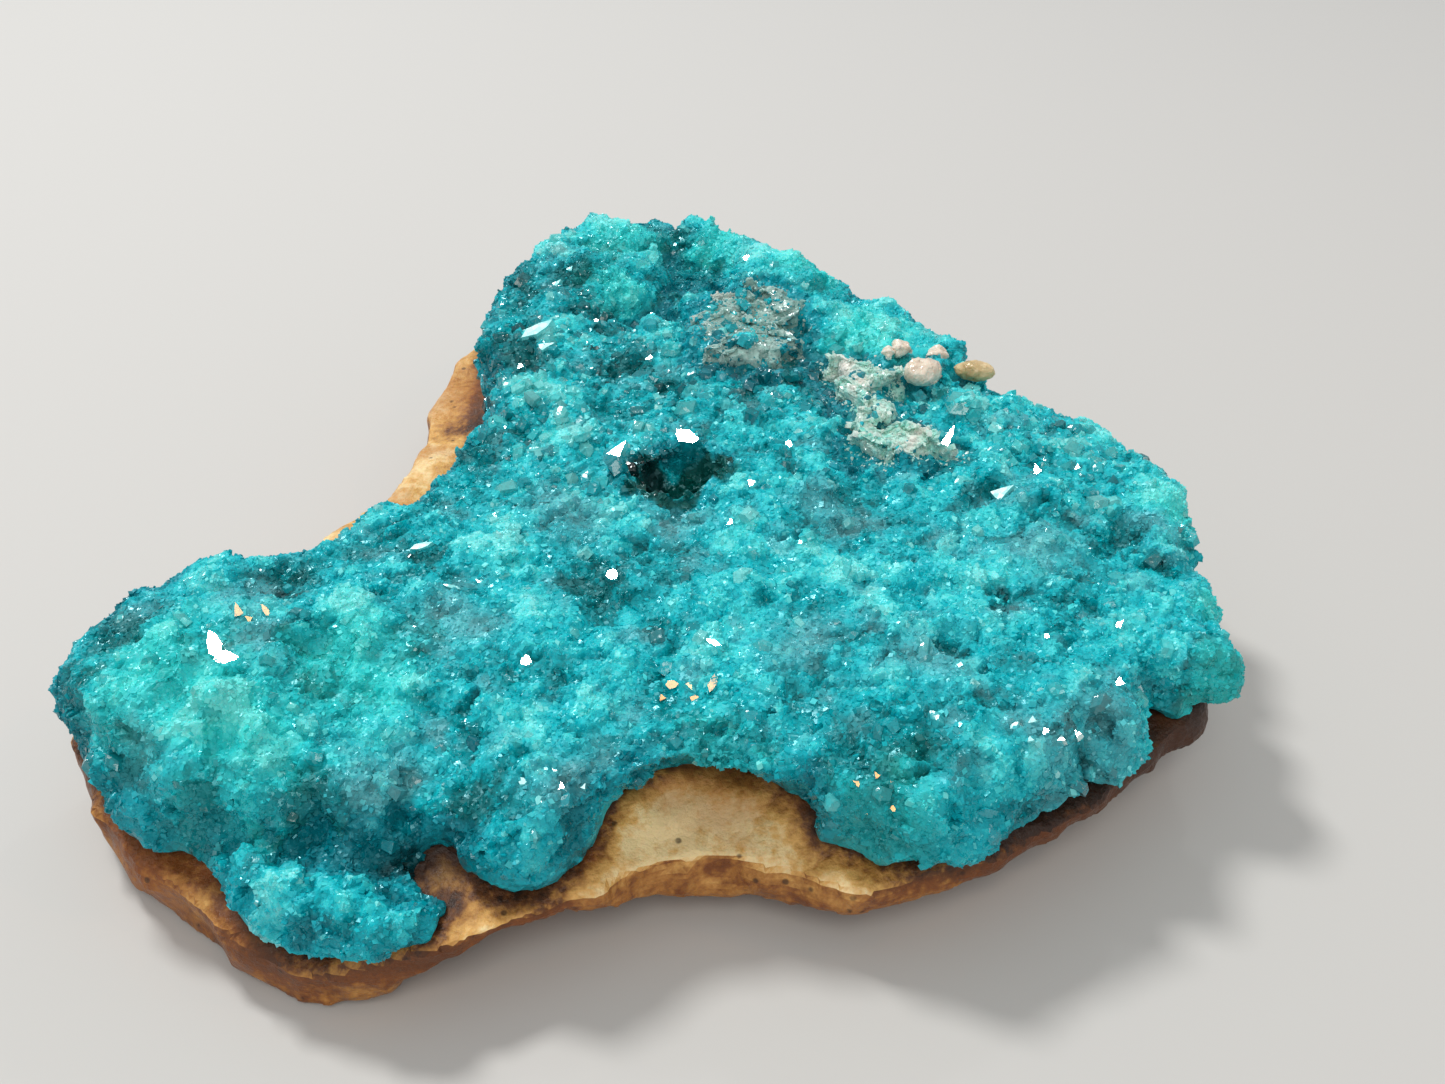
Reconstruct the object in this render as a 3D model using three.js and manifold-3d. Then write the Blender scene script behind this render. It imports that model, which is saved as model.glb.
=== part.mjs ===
// A dioptase cluster: a crust of blue-green crystals grown over a broken plate of tan rock, with small
// patches of quartz and two single grains of other colours set in the crust.
//
// Millimetres, +Z up. The rock lies flat on the ground at z = 0. Plan places below are measured from a
// working point near the middle of the specimen, and the group at the end moves the whole specimen so
// that the middle of its footprint stands at the origin.

import * as THREE from 'three';
import { mergeVertices } from 'three/addons/utils/BufferGeometryUtils.js';
import { ImprovedNoise } from 'three/addons/math/ImprovedNoise.js';
import Module from 'manifold-3d';

// ---------------------------------------------------------------- driving dimensions

const GAP = 0.3; // clearance between two pieces that touch
const HUB = [-2.5, -10.5]; // plan point from which every spoke of the crust and the rock runs out

const ROCK_CROWN = 4.7; // height of the rock's top where the crust is thickest
const ROCK_CROWN_Y = -5; // plan line along which the rock's top is at that height
const ROCK_BACK_RISE = 0.05; // slope of the rock's top towards the back
const ROCK_FALL = 0.004; // how fast the rock's top curves down to the front and the sides
const ROCK_LEDGE = 3.2; // width of the sloping border of the rock's top
const ROCK_LIFT_RUN = 5.5; // width of the border over which the underside rises off the ground
const ROCK_SPOKES = 72;

const CRUST_THICKNESS = 2.9; // dioptase over the rock, away from the mounds
const CRUST_ROLL = 1.5; // width of the rounded border of the crust
const CRUST_EDGE = 0.4; // height of the short upright face at the crust's widest line
const CRUST_RELIEF = 0.34; // height of the uneven growth
const CRUST_RELIEF_SIZE = 2.6; // distance between two such swellings
const CRUST_SPOKES = 96;

// Rim of the rock, counter-clockwise from its left end: plan place, then the heights of the upper and the
// lower edge of the broken side face.
const ROCK_RIM = [
  [-21.6, -15.1, 2.9, 1.3], [-21.0, -16.2, 2.7, 1.0], [-20.3, -17.5, 2.5, 0.6], [-19.0, -19.1, 2.4, 0.3],
  [-17.4, -20.4, 2.4, 0.2], [-15.4, -21.7, 2.3, 0.1], [-13.8, -22.9, 2.1, 0.1], [-12.5, -23.8, 1.8, 0.1],
  [-11.3, -23.8, 2.1, 0.2], [-9.9, -23.6, 2.5, 1.0], [-8.5, -23.9, 2.9, 1.9], [-7.2, -23.6, 3.1, 2.4],
  [-5.9, -22.9, 3.1, 2.6], [-4.8, -22.1, 3.1, 2.5], [-3.5, -21.4, 3.1, 2.1], [-2.3, -20.9, 3.1, 1.7],
  [-0.7, -20.5, 3.1, 1.4], [1.1, -20.5, 3.0, 1.3], [2.4, -21.0, 2.9, 1.4], [3.7, -21.5, 2.8, 1.7],
  [5.1, -21.3, 2.8, 1.8], [7.0, -20.7, 2.9, 2.0], [8.7, -20.0, 2.9, 2.1], [10.6, -19.0, 3.0, 2.2],
  [12.2, -18.0, 3.1, 2.3], [14.0, -16.3, 3.2, 2.4], [15.4, -14.8, 3.3, 2.4], [16.3, -13.7, 3.4, 2.4],
  [16.6, -11.6, 3.5, 2.2], [16.6, -9.0, 3.6, 2.0], [16.5, -6.6, 3.8, 1.8], [15.6, -4.4, 4.0, 1.7],
  [13.9, -2.2, 4.1, 1.6], [11.9, -0.6, 4.2, 1.5], [10.0, 1.4, 4.3, 1.5], [8.6, 4.2, 4.4, 1.6],
  [7.4, 6.6, 4.5, 1.7], [5.0, 8.4, 4.6, 1.8], [2.6, 10.4, 4.7, 1.9], [-0.2, 12.4, 4.8, 2.0],
  [-3.2, 13.9, 4.9, 2.1], [-6.2, 13.4, 4.9, 2.1], [-9.0, 11.6, 4.9, 2.0], [-10.9, 9.4, 4.9, 1.8],
  [-11.9, 6.8, 4.8, 1.6], [-12.4, 4.2, 4.7, 1.4], [-12.4, 1.4, 4.6, 1.3], [-12.3, -1.2, 4.6, 1.2],
  [-12.8, -2.9, 4.5, 1.2], [-14.2, -4.1, 4.4, 1.2], [-15.4, -6.1, 4.2, 1.2], [-16.6, -8.7, 3.8, 1.2],
  [-18.4, -10.7, 3.4, 1.3], [-20.2, -12.1, 3.1, 1.4], [-21.3, -13.7, 3.0, 1.4],
];

// Rim of the crust, counter-clockwise from its left end: plan place and height of its widest line.
const CRUST_RIM = [
  [-22.1, -14.7, 4.9], [-21.5, -16.4, 4.4], [-20.3, -17.6, 4.1], [-19.2, -18.9, 3.7], [-18.2, -20.0, 3.5],
  [-16.8, -20.5, 3.7], [-14.8, -20.9, 3.9], [-12.4, -21.4, 4.1], [-10.1, -21.7, 4.5], [-8.8, -21.3, 5.0],
  [-7.3, -22.1, 4.5], [-5.9, -22.5, 4.3], [-4.6, -21.9, 4.5], [-3.7, -20.8, 5.0], [-3.1, -20.0, 5.7],
  [-2.1, -19.7, 6.2], [-1.2, -19.4, 6.4], [-0.2, -19.8, 6.2], [1.1, -20.1, 5.8], [2.2, -20.0, 5.4],
  [3.0, -20.8, 4.9], [4.3, -21.2, 4.5], [5.7, -22.2, 4.1], [7.2, -21.6, 4.0], [8.7, -20.8, 4.0],
  [10.3, -19.7, 4.1], [11.7, -18.6, 4.2], [12.9, -18.4, 4.2], [13.8, -17.4, 4.3], [14.3, -15.9, 4.5],
  [15.4, -15.1, 4.3], [16.5, -15.1, 3.9], [17.7, -14.4, 4.1], [17.2, -13.2, 4.5], [17.1, -12.2, 4.8],
  [17.7, -10.9, 5.0], [17.2, -9.6, 5.1], [17.5, -8.2, 5.2], [17.3, -7.0, 5.3], [17.7, -5.5, 5.5],
  [17.2, -4.2, 5.8], [16.1, -3.4, 6.0], [15.5, -1.8, 6.1], [14.4, -0.4, 6.2], [13.1, -0.1, 6.2],
  [11.7, 1.1, 6.2], [10.8, 2.7, 6.2], [10.0, 4.6, 6.2], [9.0, 6.1, 6.3], [8.5, 7.8, 6.5],
  [6.4, 8.2, 6.8], [5.4, 9.8, 7.1], [3.4, 11.6, 7.4], [0.9, 13.5, 7.6], [-1.5, 15.1, 7.7],
  [-3.4, 15.7, 7.6], [-5.1, 15.8, 7.7], [-7.0, 14.9, 7.6], [-8.7, 12.8, 7.2], [-9.9, 10.5, 6.8],
  [-10.5, 7.6, 6.4], [-10.5, 4.6, 6.2], [-9.9, 2.0, 6.0], [-9.7, -0.9, 6.0], [-10.3, -3.4, 6.0],
  [-11.3, -5.3, 6.0], [-12.5, -6.8, 6.0], [-13.8, -7.6, 6.0], [-14.8, -8.8, 6.0], [-16.4, -9.6, 6.1],
  [-18.1, -9.8, 6.2], [-19.7, -10.4, 6.1], [-21.0, -11.7, 5.9], [-21.8, -13.3, 5.4],
];

// The lobe that hangs over the rock's front corner, in the same terms as the crust's rim.
const FRONT_LOBE_HUB = [-11.9, -21.9];
const FRONT_LOBE_CROWN = 5.2;
const FRONT_LOBE_SPOKES = 32;
const FRONT_LOBE_RIM = [
  [-15.7, -20.5, 3.4], [-15.3, -21.8, 3.2], [-13.9, -22.9, 3.0], [-12.1, -24.0, 3.0], [-10.4, -24.6, 3.0],
  [-8.9, -24.5, 3.2], [-8.2, -23.5, 3.5], [-8.3, -22.4, 3.9], [-9.1, -21.1, 4.2], [-10.8, -19.9, 4.2],
  [-13.2, -19.6, 4.2], [-15.0, -19.7, 3.9],
];

// Mounds and hollows of the crust's top: plan place, radius, height (negative for a hollow).
const CRUST_SWELLS = [
  [-17.0, -15.6, 4.4, 1.2], [-19.6, -16.0, 2.4, 0.4], [-13.0, -12.4, 3.0, 0.4], [-8.2, -10.6, 1.7, 0.4],
  [-5.6, -20.4, 2.4, 0.5], [5.0, -19.6, 3.2, 0.5], [9.6, -17.8, 2.6, 0.4], [13.0, -16.2, 2.0, 0.4],
  [-5.6, 10.2, 3.0, 0.9], [2.2, 9.4, 2.6, 0.7], [-1.4, 12.6, 2.2, 0.3], [7.4, 5.0, 2.4, 0.3],
  [12.4, -4.6, 3.6, 0.4], [0.6, -9.0, 3.4, 0.3], [-1.6, -5.4, 3.4, 0.4],
  [-2.4, 7.0, 1.5, -1.0], [-0.6, 10.2, 1.2, -0.8], [-8.2, -20.2, 1.5, -1.0], [2.6, -18.6, 1.3, -0.5],
  [-9.6, -17.6, 2.0, -0.4], [-3.2, -17.4, 1.6, -0.3], [6.6, -12.6, 2.0, -0.4],
];

// The vug, an open pocket lined with crystals: middle, half sizes and turn about the upright.
const VUG_CENTRE = [-1.7, -5.4, 7.9];
const VUG_RADII = [1.9, 1.25, 1.9];
const VUG_TURN = 0.35;

// The cave under the arch of the crust's front rim: middle, half sizes and turn about the upright.
const CAVE_CENTRE = [-0.6, -20.3, 4.2];
const CAVE_RADII = [3.2, 2.8, 1.8];
const CAVE_TURN = -0.1;

// Quartz grown in the crust. Each piece stands this far above and reaches this far below the crust's top.
const PATCH_PROUD = 0.12;
const PATCH_DEPTH = 1.1;
const PATCH_BEVEL = 0.3; // width and height of the slope round a patch's top and bottom
const PATCH_SPOKES = 16;
const POCKET_REACH = 2; // how far above the crust's top a patch's pocket is cut
const GREY_PATCH_HUB = [1.1, 4.9];
const GREY_PATCH_RIM = [
  [-1.1, 7.1], [-1.0, 4.8], [-0.4, 2.6], [1.2, 2.2], [2.6, 2.7], [3.0, 4.5], [3.2, 6.4], [1.4, 7.8],
];
const VEIN_HEAD_HUB = [5.6, 0.0];
const VEIN_HEAD_RIM = [
  [4.6, 2.2], [4.8, 0.6], [5.1, -1.6], [5.4, -3.2], [6.3, -3.2], [6.2, -1.4], [6.5, 0.0], [7.0, 1.0],
  [5.8, 2.0],
];
const VEIN_FOOT_HUB = [6.7, -3.6];
const VEIN_FOOT_RIM = [
  [5.2, -2.9], [5.3, -4.1], [6.6, -4.5], [8.1, -4.3], [8.4, -3.3], [7.2, -2.8],
];

// Two single grains of other colours: middle, half sizes and turn about the upright.
const CREAM_GRAIN = { centre: [8.0, 0.6, 8.0], radii: [0.85, 0.65, 0.6], turn: 0.4 };
const TAN_GRAIN = { centre: [10.2, 1.4, 7.6], radii: [0.9, 0.5, 0.45], turn: -0.3 };

// ---------------------------------------------------------------- heights

const noise = new ImprovedNoise();


function smoothStep(t) {
  const c = Math.min(Math.max(t, 0), 1);
  return c * c * (3 - 2 * c);
}

// A quarter of an ellipse, from 0 at the rim to 1 where the roll ends.
function roll(t) {
  const c = Math.min(Math.max(t, 0), 1);
  return Math.sqrt(1 - (1 - c) ** 2);
}

function rockTop(x, y) {
  const front = Math.min(y - ROCK_CROWN_Y, 0);
  const back = Math.max(y - ROCK_CROWN_Y, 0);
  const side = Math.max(Math.abs(x) - 5, 0);
  return ROCK_CROWN + ROCK_BACK_RISE * back - ROCK_FALL * (front ** 2 + side ** 2);
}

function crustTop(x, y) {
  let height = rockTop(x, y) + CRUST_THICKNESS;
  for (const [sx, sy, radius, rise] of CRUST_SWELLS) {
    height += rise * Math.exp(-((x - sx) ** 2 + (y - sy) ** 2) / radius ** 2);
  }
  const relief = noise.noise(x / CRUST_RELIEF_SIZE, y / CRUST_RELIEF_SIZE, 0.5);
  return height + CRUST_RELIEF * relief;
}

// ---------------------------------------------------------------- closed bodies from rings

const RIM_REACH = 0.04; // share of a rim's length over which its run is averaged
const LEAST_SQUARENESS = 0.45; // a spoke that meets the rim more aslant than this counts as this

// Samples a rim of hand-set points at even steps. Each sample keeps its heights, its distance to the hub
// and how squarely its spoke meets the run of the rim.
function sampleRim(points, hub, spokes) {
  const uppers = points.map(([x, y, upper = 0]) => new THREE.Vector3(x, y, upper));
  const lowers = points.map(([x, y, , lower = 0]) => new THREE.Vector3(x, y, lower));
  const upperCurve = new THREE.CatmullRomCurve3(uppers, true, 'centripetal');
  const lowerCurve = new THREE.CatmullRomCurve3(lowers, true, 'centripetal');
  const samples = [];
  for (let i = 0; i < spokes; i += 1) {
    const t = i / spokes;
    const p = upperCurve.getPoint(t);
    const ahead = upperCurve.getPoint((t + RIM_REACH) % 1);
    const behind = upperCurve.getPoint((t + 1 - RIM_REACH) % 1);
    const along = ahead.sub(behind).setZ(0).normalize();
    const toHub = new THREE.Vector3(hub[0] - p.x, hub[1] - p.y, 0);
    const length = toHub.length();
    const squareness = Math.abs(along.x * toHub.y - along.y * toHub.x) / length;
    samples.push({ x: p.x, y: p.y, upper: p.z, lower: lowerCurve.getPoint(t).z, length, squareness });
  }
  return samples;
}

// Distances in from the rim, along one spoke, of every ring: first the given steps, then even ones.
function ringDistances(sample, steps, furtherRings) {
  const squareness = Math.max(sample.squareness, LEAST_SQUARENESS);
  const near = steps.map((step) => Math.min(step / squareness, 0.7 * sample.length * (step / steps.at(-1))));
  const last = near.at(-1);
  const far = [];
  for (let k = 1; k <= furtherRings; k += 1) {
    far.push(last + ((sample.length - last) * k) / (furtherRings + 1));
  }
  return near.concat(far).map((distance) => ({ distance, inset: distance * squareness }));
}

// A closed body with an upper and a lower surface, each running in rings from the rim to the hub.
// `upper` and `lower` hold the first steps in from the rim, the number of even rings after them, and the
// height at a plan place for a given inset from the rim.
function pillow(samples, hub, upper, lower) {
  const positions = [];
  const indices = [];
  const count = samples.length;

  function addSurface(side) {
    const rings = [];
    samples.forEach((sample, i) => {
      ringDistances(sample, [0, ...side.steps], side.rings).forEach(({ distance, inset }, k) => {
        const x = sample.x + ((hub[0] - sample.x) * distance) / sample.length;
        const y = sample.y + ((hub[1] - sample.y) * distance) / sample.length;
        rings[k] = rings[k] ?? [];
        rings[k][i] = positions.length / 3;
        positions.push(x, y, side.height(x, y, inset, sample));
      });
    });
    const middle = positions.length / 3;
    positions.push(hub[0], hub[1], side.height(hub[0], hub[1], Infinity, samples[0]));
    return { rings, middle };
  }

  function join(outer, inner, flip) {
    for (let i = 0; i < count; i += 1) {
      const j = (i + 1) % count;
      const quad = flip
        ? [outer[i], inner[i], inner[j], outer[i], inner[j], outer[j]]
        : [outer[i], inner[j], inner[i], outer[i], outer[j], inner[j]];
      indices.push(...quad);
    }
  }

  function close(ring, middle, flip) {
    for (let i = 0; i < count; i += 1) {
      const j = (i + 1) % count;
      indices.push(...(flip ? [ring[i], middle, ring[j]] : [ring[i], ring[j], middle]));
    }
  }

  const top = addSurface(upper);
  const bottom = addSurface(lower);
  top.rings.slice(1).forEach((ring, k) => join(top.rings[k], ring, false));
  close(top.rings.at(-1), top.middle, false);
  bottom.rings.slice(1).forEach((ring, k) => join(bottom.rings[k], ring, true));
  close(bottom.rings.at(-1), bottom.middle, true);
  join(bottom.rings[0], top.rings[0], false);

  const geometry = new THREE.BufferGeometry();
  geometry.setAttribute('position', new THREE.Float32BufferAttribute(positions, 3));
  geometry.setIndex(indices);
  return geometry;
}

// A rim pushed outwards, for a pocket or a neighbour that keeps its clearance.
function growRim(samples, hub, by) {
  return samples.map((sample) => {
    const reach = by / Math.max(sample.squareness, LEAST_SQUARENESS);
    const scale = (sample.length + reach) / sample.length;
    const x = hub[0] + (sample.x - hub[0]) * scale;
    const y = hub[1] + (sample.y - hub[1]) * scale;
    return { ...sample, x, y, length: sample.length * scale };
  });
}

// A blunt many-sided stone, stretched, turned and set in its place.
function stone({ centre, radii, turn }, grow = 0, detail = 1) {
  const geometry = new THREE.IcosahedronGeometry(1, detail);
  geometry.scale(radii[0] + grow, radii[1] + grow, radii[2] + grow);
  geometry.rotateZ(turn);
  geometry.translate(...centre);
  return geometry;
}

// ---------------------------------------------------------------- joining and cutting

const wasm = await Module();
wasm.setup();

function toSolid(geometry) {
  const bare = geometry.clone();
  bare.deleteAttribute('normal');
  bare.deleteAttribute('uv');
  const merged = mergeVertices(bare, 1e-5);
  const mesh = new wasm.Mesh({
    numProp: 3,
    vertProperties: new Float32Array(merged.attributes.position.array),
    triVerts: new Uint32Array(merged.index.array),
  });
  return new wasm.Manifold(mesh);
}

function toGeometry(solid) {
  const mesh = solid.getMesh();
  const geometry = new THREE.BufferGeometry();
  geometry.setAttribute('position', new THREE.Float32BufferAttribute(mesh.vertProperties, 3));
  geometry.setIndex(Array.from(mesh.triVerts));
  geometry.computeVertexNormals();
  return geometry;
}

// ---------------------------------------------------------------- the rock

function rockGeometry(grow) {
  const samples = growRim(sampleRim(ROCK_RIM, HUB, ROCK_SPOKES), HUB, grow);
  const upper = {
    steps: [0.8, 1.8, ROCK_LEDGE],
    rings: 4,
    height: (x, y, inset, rim) => {
      const level = THREE.MathUtils.lerp(rim.upper, rockTop(x, y), smoothStep(inset / ROCK_LEDGE));
      return level + grow;
    },
  };
  const lower = {
    steps: [0.9, 2.2, 3.8, ROCK_LIFT_RUN],
    rings: 2,
    height: (x, y, inset, rim) => rim.lower * (1 - smoothStep(inset / ROCK_LIFT_RUN)) - grow,
  };
  return pillow(samples, HUB, upper, lower);
}

// ---------------------------------------------------------------- the crust

function crustBody(points, hub, spokes, crown, rings) {
  const samples = sampleRim(points, hub, spokes);
  const upper = {
    steps: [0.15, 0.5, 1.0, CRUST_ROLL],
    rings,
    height: (x, y, inset, rim) => {
      const edge = rim.upper + CRUST_EDGE / 2;
      return THREE.MathUtils.lerp(edge, crown(x, y), roll(inset / CRUST_ROLL));
    },
  };
  const lower = {
    steps: [0.4, CRUST_ROLL],
    rings: 3,
    height: (x, y, inset, rim) => {
      const edge = rim.upper - CRUST_EDGE / 2;
      return THREE.MathUtils.lerp(edge, Math.min(edge, rockTop(x, y)), roll(inset / CRUST_ROLL));
    },
  };
  return toSolid(pillow(samples, hub, upper, lower));
}

function frontLobeTop(x, y) {
  const reach = Math.hypot(x - FRONT_LOBE_HUB[0], y - FRONT_LOBE_HUB[1]);
  return FRONT_LOBE_CROWN - 0.05 * reach ** 2;
}

// ---------------------------------------------------------------- quartz patches

// A patch, or the pocket it sits in when it is grown: the pocket is open at the top.
function patchSolid(points, hub, grow) {
  const samples = growRim(sampleRim(points, hub, PATCH_SPOKES), hub, grow);
  const isPocket = grow > 0;
  const proud = isPocket ? POCKET_REACH : PATCH_PROUD;
  const slope = (inset) => PATCH_BEVEL * Math.max(1 - inset / PATCH_BEVEL, 0);
  const upper = {
    steps: [PATCH_BEVEL],
    rings: 2,
    height: (x, y, inset) => crustTop(x, y) + proud - (isPocket ? 0 : slope(inset)),
  };
  const lower = {
    steps: [PATCH_BEVEL],
    rings: 1,
    height: (x, y, inset) => crustTop(x, y) - PATCH_DEPTH - grow + slope(inset),
  };
  return toSolid(pillow(samples, hub, upper, lower));
}

function greyPatch(grow) {
  return patchSolid(GREY_PATCH_RIM, GREY_PATCH_HUB, grow);
}

function paleVein(grow) {
  const head = patchSolid(VEIN_HEAD_RIM, VEIN_HEAD_HUB, grow);
  return head.add(patchSolid(VEIN_FOOT_RIM, VEIN_FOOT_HUB, grow));
}

// ---------------------------------------------------------------- assembly

const rock = rockGeometry(0);
const vug = stone({ centre: VUG_CENTRE, radii: VUG_RADII, turn: VUG_TURN }, 0, 2);
const cave = stone({ centre: CAVE_CENTRE, radii: CAVE_RADII, turn: CAVE_TURN }, 0, 2);

const crust = crustBody(CRUST_RIM, HUB, CRUST_SPOKES, crustTop, 9)
  .add(crustBody(FRONT_LOBE_RIM, FRONT_LOBE_HUB, FRONT_LOBE_SPOKES, frontLobeTop, 2))
  .subtract(toSolid(rockGeometry(GAP)))
  .subtract(toSolid(vug))
  .subtract(toSolid(cave))
  .subtract(greyPatch(GAP))
  .subtract(paleVein(GAP))
  .subtract(toSolid(stone(CREAM_GRAIN, GAP)))
  .subtract(toSolid(stone(TAN_GRAIN, GAP)));

const DIOPTASE = new THREE.MeshStandardMaterial({ color: '#0a8f98', roughness: 0.3, metalness: 0 });
const ROCK = new THREE.MeshStandardMaterial({ color: '#9a7448', roughness: 0.85, metalness: 0 });
const GREY_QUARTZ = new THREE.MeshStandardMaterial({ color: '#7d9693', roughness: 0.3, metalness: 0 });
const PALE_QUARTZ = new THREE.MeshStandardMaterial({ color: '#b4c8b6', roughness: 0.4, metalness: 0 });
const CREAM = new THREE.MeshStandardMaterial({ color: '#ddd2b8', roughness: 0.35, metalness: 0 });
const TAN = new THREE.MeshStandardMaterial({ color: '#c9b183', roughness: 0.5, metalness: 0 });

function piece(name, geometry, material) {
  const mesh = new THREE.Mesh(geometry, material);
  mesh.name = name;
  return mesh;
}

const specimen = new THREE.Group();
specimen.add(piece('matrix', rock, ROCK));
specimen.add(piece('dioptase_crust', toGeometry(crust), DIOPTASE));
specimen.add(piece('grey_quartz_patch', toGeometry(greyPatch(0)), GREY_QUARTZ));
specimen.add(piece('pale_vein', toGeometry(paleVein(0)), PALE_QUARTZ));
specimen.add(piece('cream_grain', toGeometry(toSolid(stone(CREAM_GRAIN))), CREAM));
specimen.add(piece('tan_grain', toGeometry(toSolid(stone(TAN_GRAIN))), TAN));

const box = new THREE.Box3().setFromObject(specimen);
const footprint = box.getCenter(new THREE.Vector3()).setZ(box.min.z);
specimen.position.copy(footprint).negate();

export default specimen;
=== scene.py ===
# %% [markdown]
# # A dioptase cluster
# A crust of small blue-green crystals sits on a broken plate of tan rock. This lesson builds the looks of
# that stone in Blender around a plain solid model of the same size. The solid model comes in as a fixed
# frame: its pieces give the place and the outline of everything made here, in metres, with Z up.

# %% The frame
import contextlib
import math

import bmesh
import bpy
import numpy as np
from mathutils import Matrix, Vector
from mathutils.bvhtree import BVHTree


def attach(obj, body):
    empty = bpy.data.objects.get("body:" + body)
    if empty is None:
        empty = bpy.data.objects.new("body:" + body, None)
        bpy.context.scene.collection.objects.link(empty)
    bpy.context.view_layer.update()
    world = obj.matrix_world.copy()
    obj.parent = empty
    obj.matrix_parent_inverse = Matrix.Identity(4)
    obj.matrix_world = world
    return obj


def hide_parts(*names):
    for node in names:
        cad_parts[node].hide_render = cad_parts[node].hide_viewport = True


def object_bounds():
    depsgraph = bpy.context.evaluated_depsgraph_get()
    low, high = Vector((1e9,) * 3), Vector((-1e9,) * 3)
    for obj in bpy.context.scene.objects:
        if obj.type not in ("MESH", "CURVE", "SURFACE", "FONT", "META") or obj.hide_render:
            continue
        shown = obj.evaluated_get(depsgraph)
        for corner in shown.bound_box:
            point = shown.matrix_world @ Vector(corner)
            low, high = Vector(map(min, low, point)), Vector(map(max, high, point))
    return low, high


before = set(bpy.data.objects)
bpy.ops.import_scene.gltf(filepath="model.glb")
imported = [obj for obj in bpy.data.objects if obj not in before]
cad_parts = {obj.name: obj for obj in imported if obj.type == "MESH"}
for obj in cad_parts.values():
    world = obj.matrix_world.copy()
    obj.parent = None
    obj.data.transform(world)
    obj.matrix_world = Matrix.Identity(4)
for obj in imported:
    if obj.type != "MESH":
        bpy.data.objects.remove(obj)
cad_low, cad_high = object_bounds()
print("solid model box, mm:", [round(1000 * (b - a), 2) for a, b in zip(cad_low, cad_high)])

# %% [markdown]
# ## Places on the stone
# Every feature of the stone is placed by its plan position in millimetres, measured from a working point
# near the middle of the crust. The frame's own origin is the middle of the footprint, so one shift turns
# the first into the second. Keeping it in one helper means that no other line has to think about it.

# %% Units and places
MM = 0.001
PLAN_SHIFT = (2.236, 4.411)  # mm, from the working point to the frame's origin
SEED = 7


def spot(x, y, z=0.0):
    """A place given in plan millimetres, as a point of the frame in metres."""
    return Vector(((x + PLAN_SHIFT[0]) * MM, (y + PLAN_SHIFT[1]) * MM, z * MM))

# %% Small helpers for objects and meshes
def link(obj):
    """Puts an object into the scene and returns it."""
    bpy.context.scene.collection.objects.link(obj)
    return obj


def evaluated_mesh(obj):
    """The mesh that an object's modifiers make, as plain new mesh data."""
    graph = bpy.context.evaluated_depsgraph_get()
    graph.update()
    return bpy.data.meshes.new_from_object(obj.evaluated_get(graph))


def replace_mesh(obj, mesh):
    """Gives an object a new mesh and removes the old one."""
    old = obj.data
    obj.data = mesh
    bpy.data.meshes.remove(old)


def settle(obj):
    """Replaces an object's mesh by what its modifiers make, and drops the modifiers."""
    mesh = evaluated_mesh(obj)
    obj.modifiers.clear()
    replace_mesh(obj, mesh)
    return obj


@contextlib.contextmanager
def opened(mesh):
    """Opens a mesh for editing, and writes the changes back at the end."""
    shell = bmesh.new()
    shell.from_mesh(mesh)
    yield shell
    shell.to_mesh(mesh)
    shell.free()


def merged_copy(node, name):
    """A copy of a solid piece whose loose triangles are sewn together, ready to be shaped further."""
    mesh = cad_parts[node].data.copy()
    mesh.materials.clear()
    with opened(mesh) as shell:
        bmesh.ops.remove_doubles(shell, verts=shell.verts, dist=0.0002 * MM)
    return link(bpy.data.objects.new(name, mesh))


def remesh(obj, voxel):
    """Rebuilds a closed shape from even small quads, so that fine relief has points to move."""
    change = obj.modifiers.new("remesh", "REMESH")
    change.mode = "VOXEL"
    change.voxel_size = voxel
    change.adaptivity = 0.0
    return settle(obj)


def smooth(obj, factor, rounds):
    """Evens out the steps that the remesh leaves."""
    change = obj.modifiers.new("smooth", "SMOOTH")
    change.factor = factor
    change.iterations = rounds
    return settle(obj)


def point_rows(mesh, key):
    """One vector for each point of a mesh, as rows of a table."""
    flat = np.empty(len(mesh.vertices) * 3, np.float32)
    mesh.vertices.foreach_get(key, flat)
    return flat.reshape(-1, 3)


def coords(mesh):
    """The places of a mesh's points."""
    return point_rows(mesh, "co")


def normals(mesh):
    """The directions in which the surface faces at its points."""
    return point_rows(mesh, "normal")


def set_coords(mesh, rows):
    """Moves a mesh's points to new places."""
    mesh.vertices.foreach_set("co", rows.ravel())
    mesh.update()


def write_attribute(mesh, name, values):
    """Stores one number or one vector a point, under a name that materials and node trees can read."""
    values = np.asarray(values, np.float32)
    kind, key = ("FLOAT", "value") if values.ndim == 1 else ("FLOAT_VECTOR", "vector")
    layer = mesh.attributes.get(name) or mesh.attributes.new(name, kind, "POINT")
    layer.data.foreach_set(key, values.ravel())


def read_attribute(mesh, name):
    """Reads one number a point."""
    values = np.empty(len(mesh.attributes[name].data), np.float32)
    mesh.attributes[name].data.foreach_get("value", values)
    return values

# %% [markdown]
# ## A short way to write node trees
# Both materials and Geometry Nodes are trees of nodes. A small wrapper keeps the lines that build them
# short: it makes a node, sets its options, and takes each input either as a value or as another socket.

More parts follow.
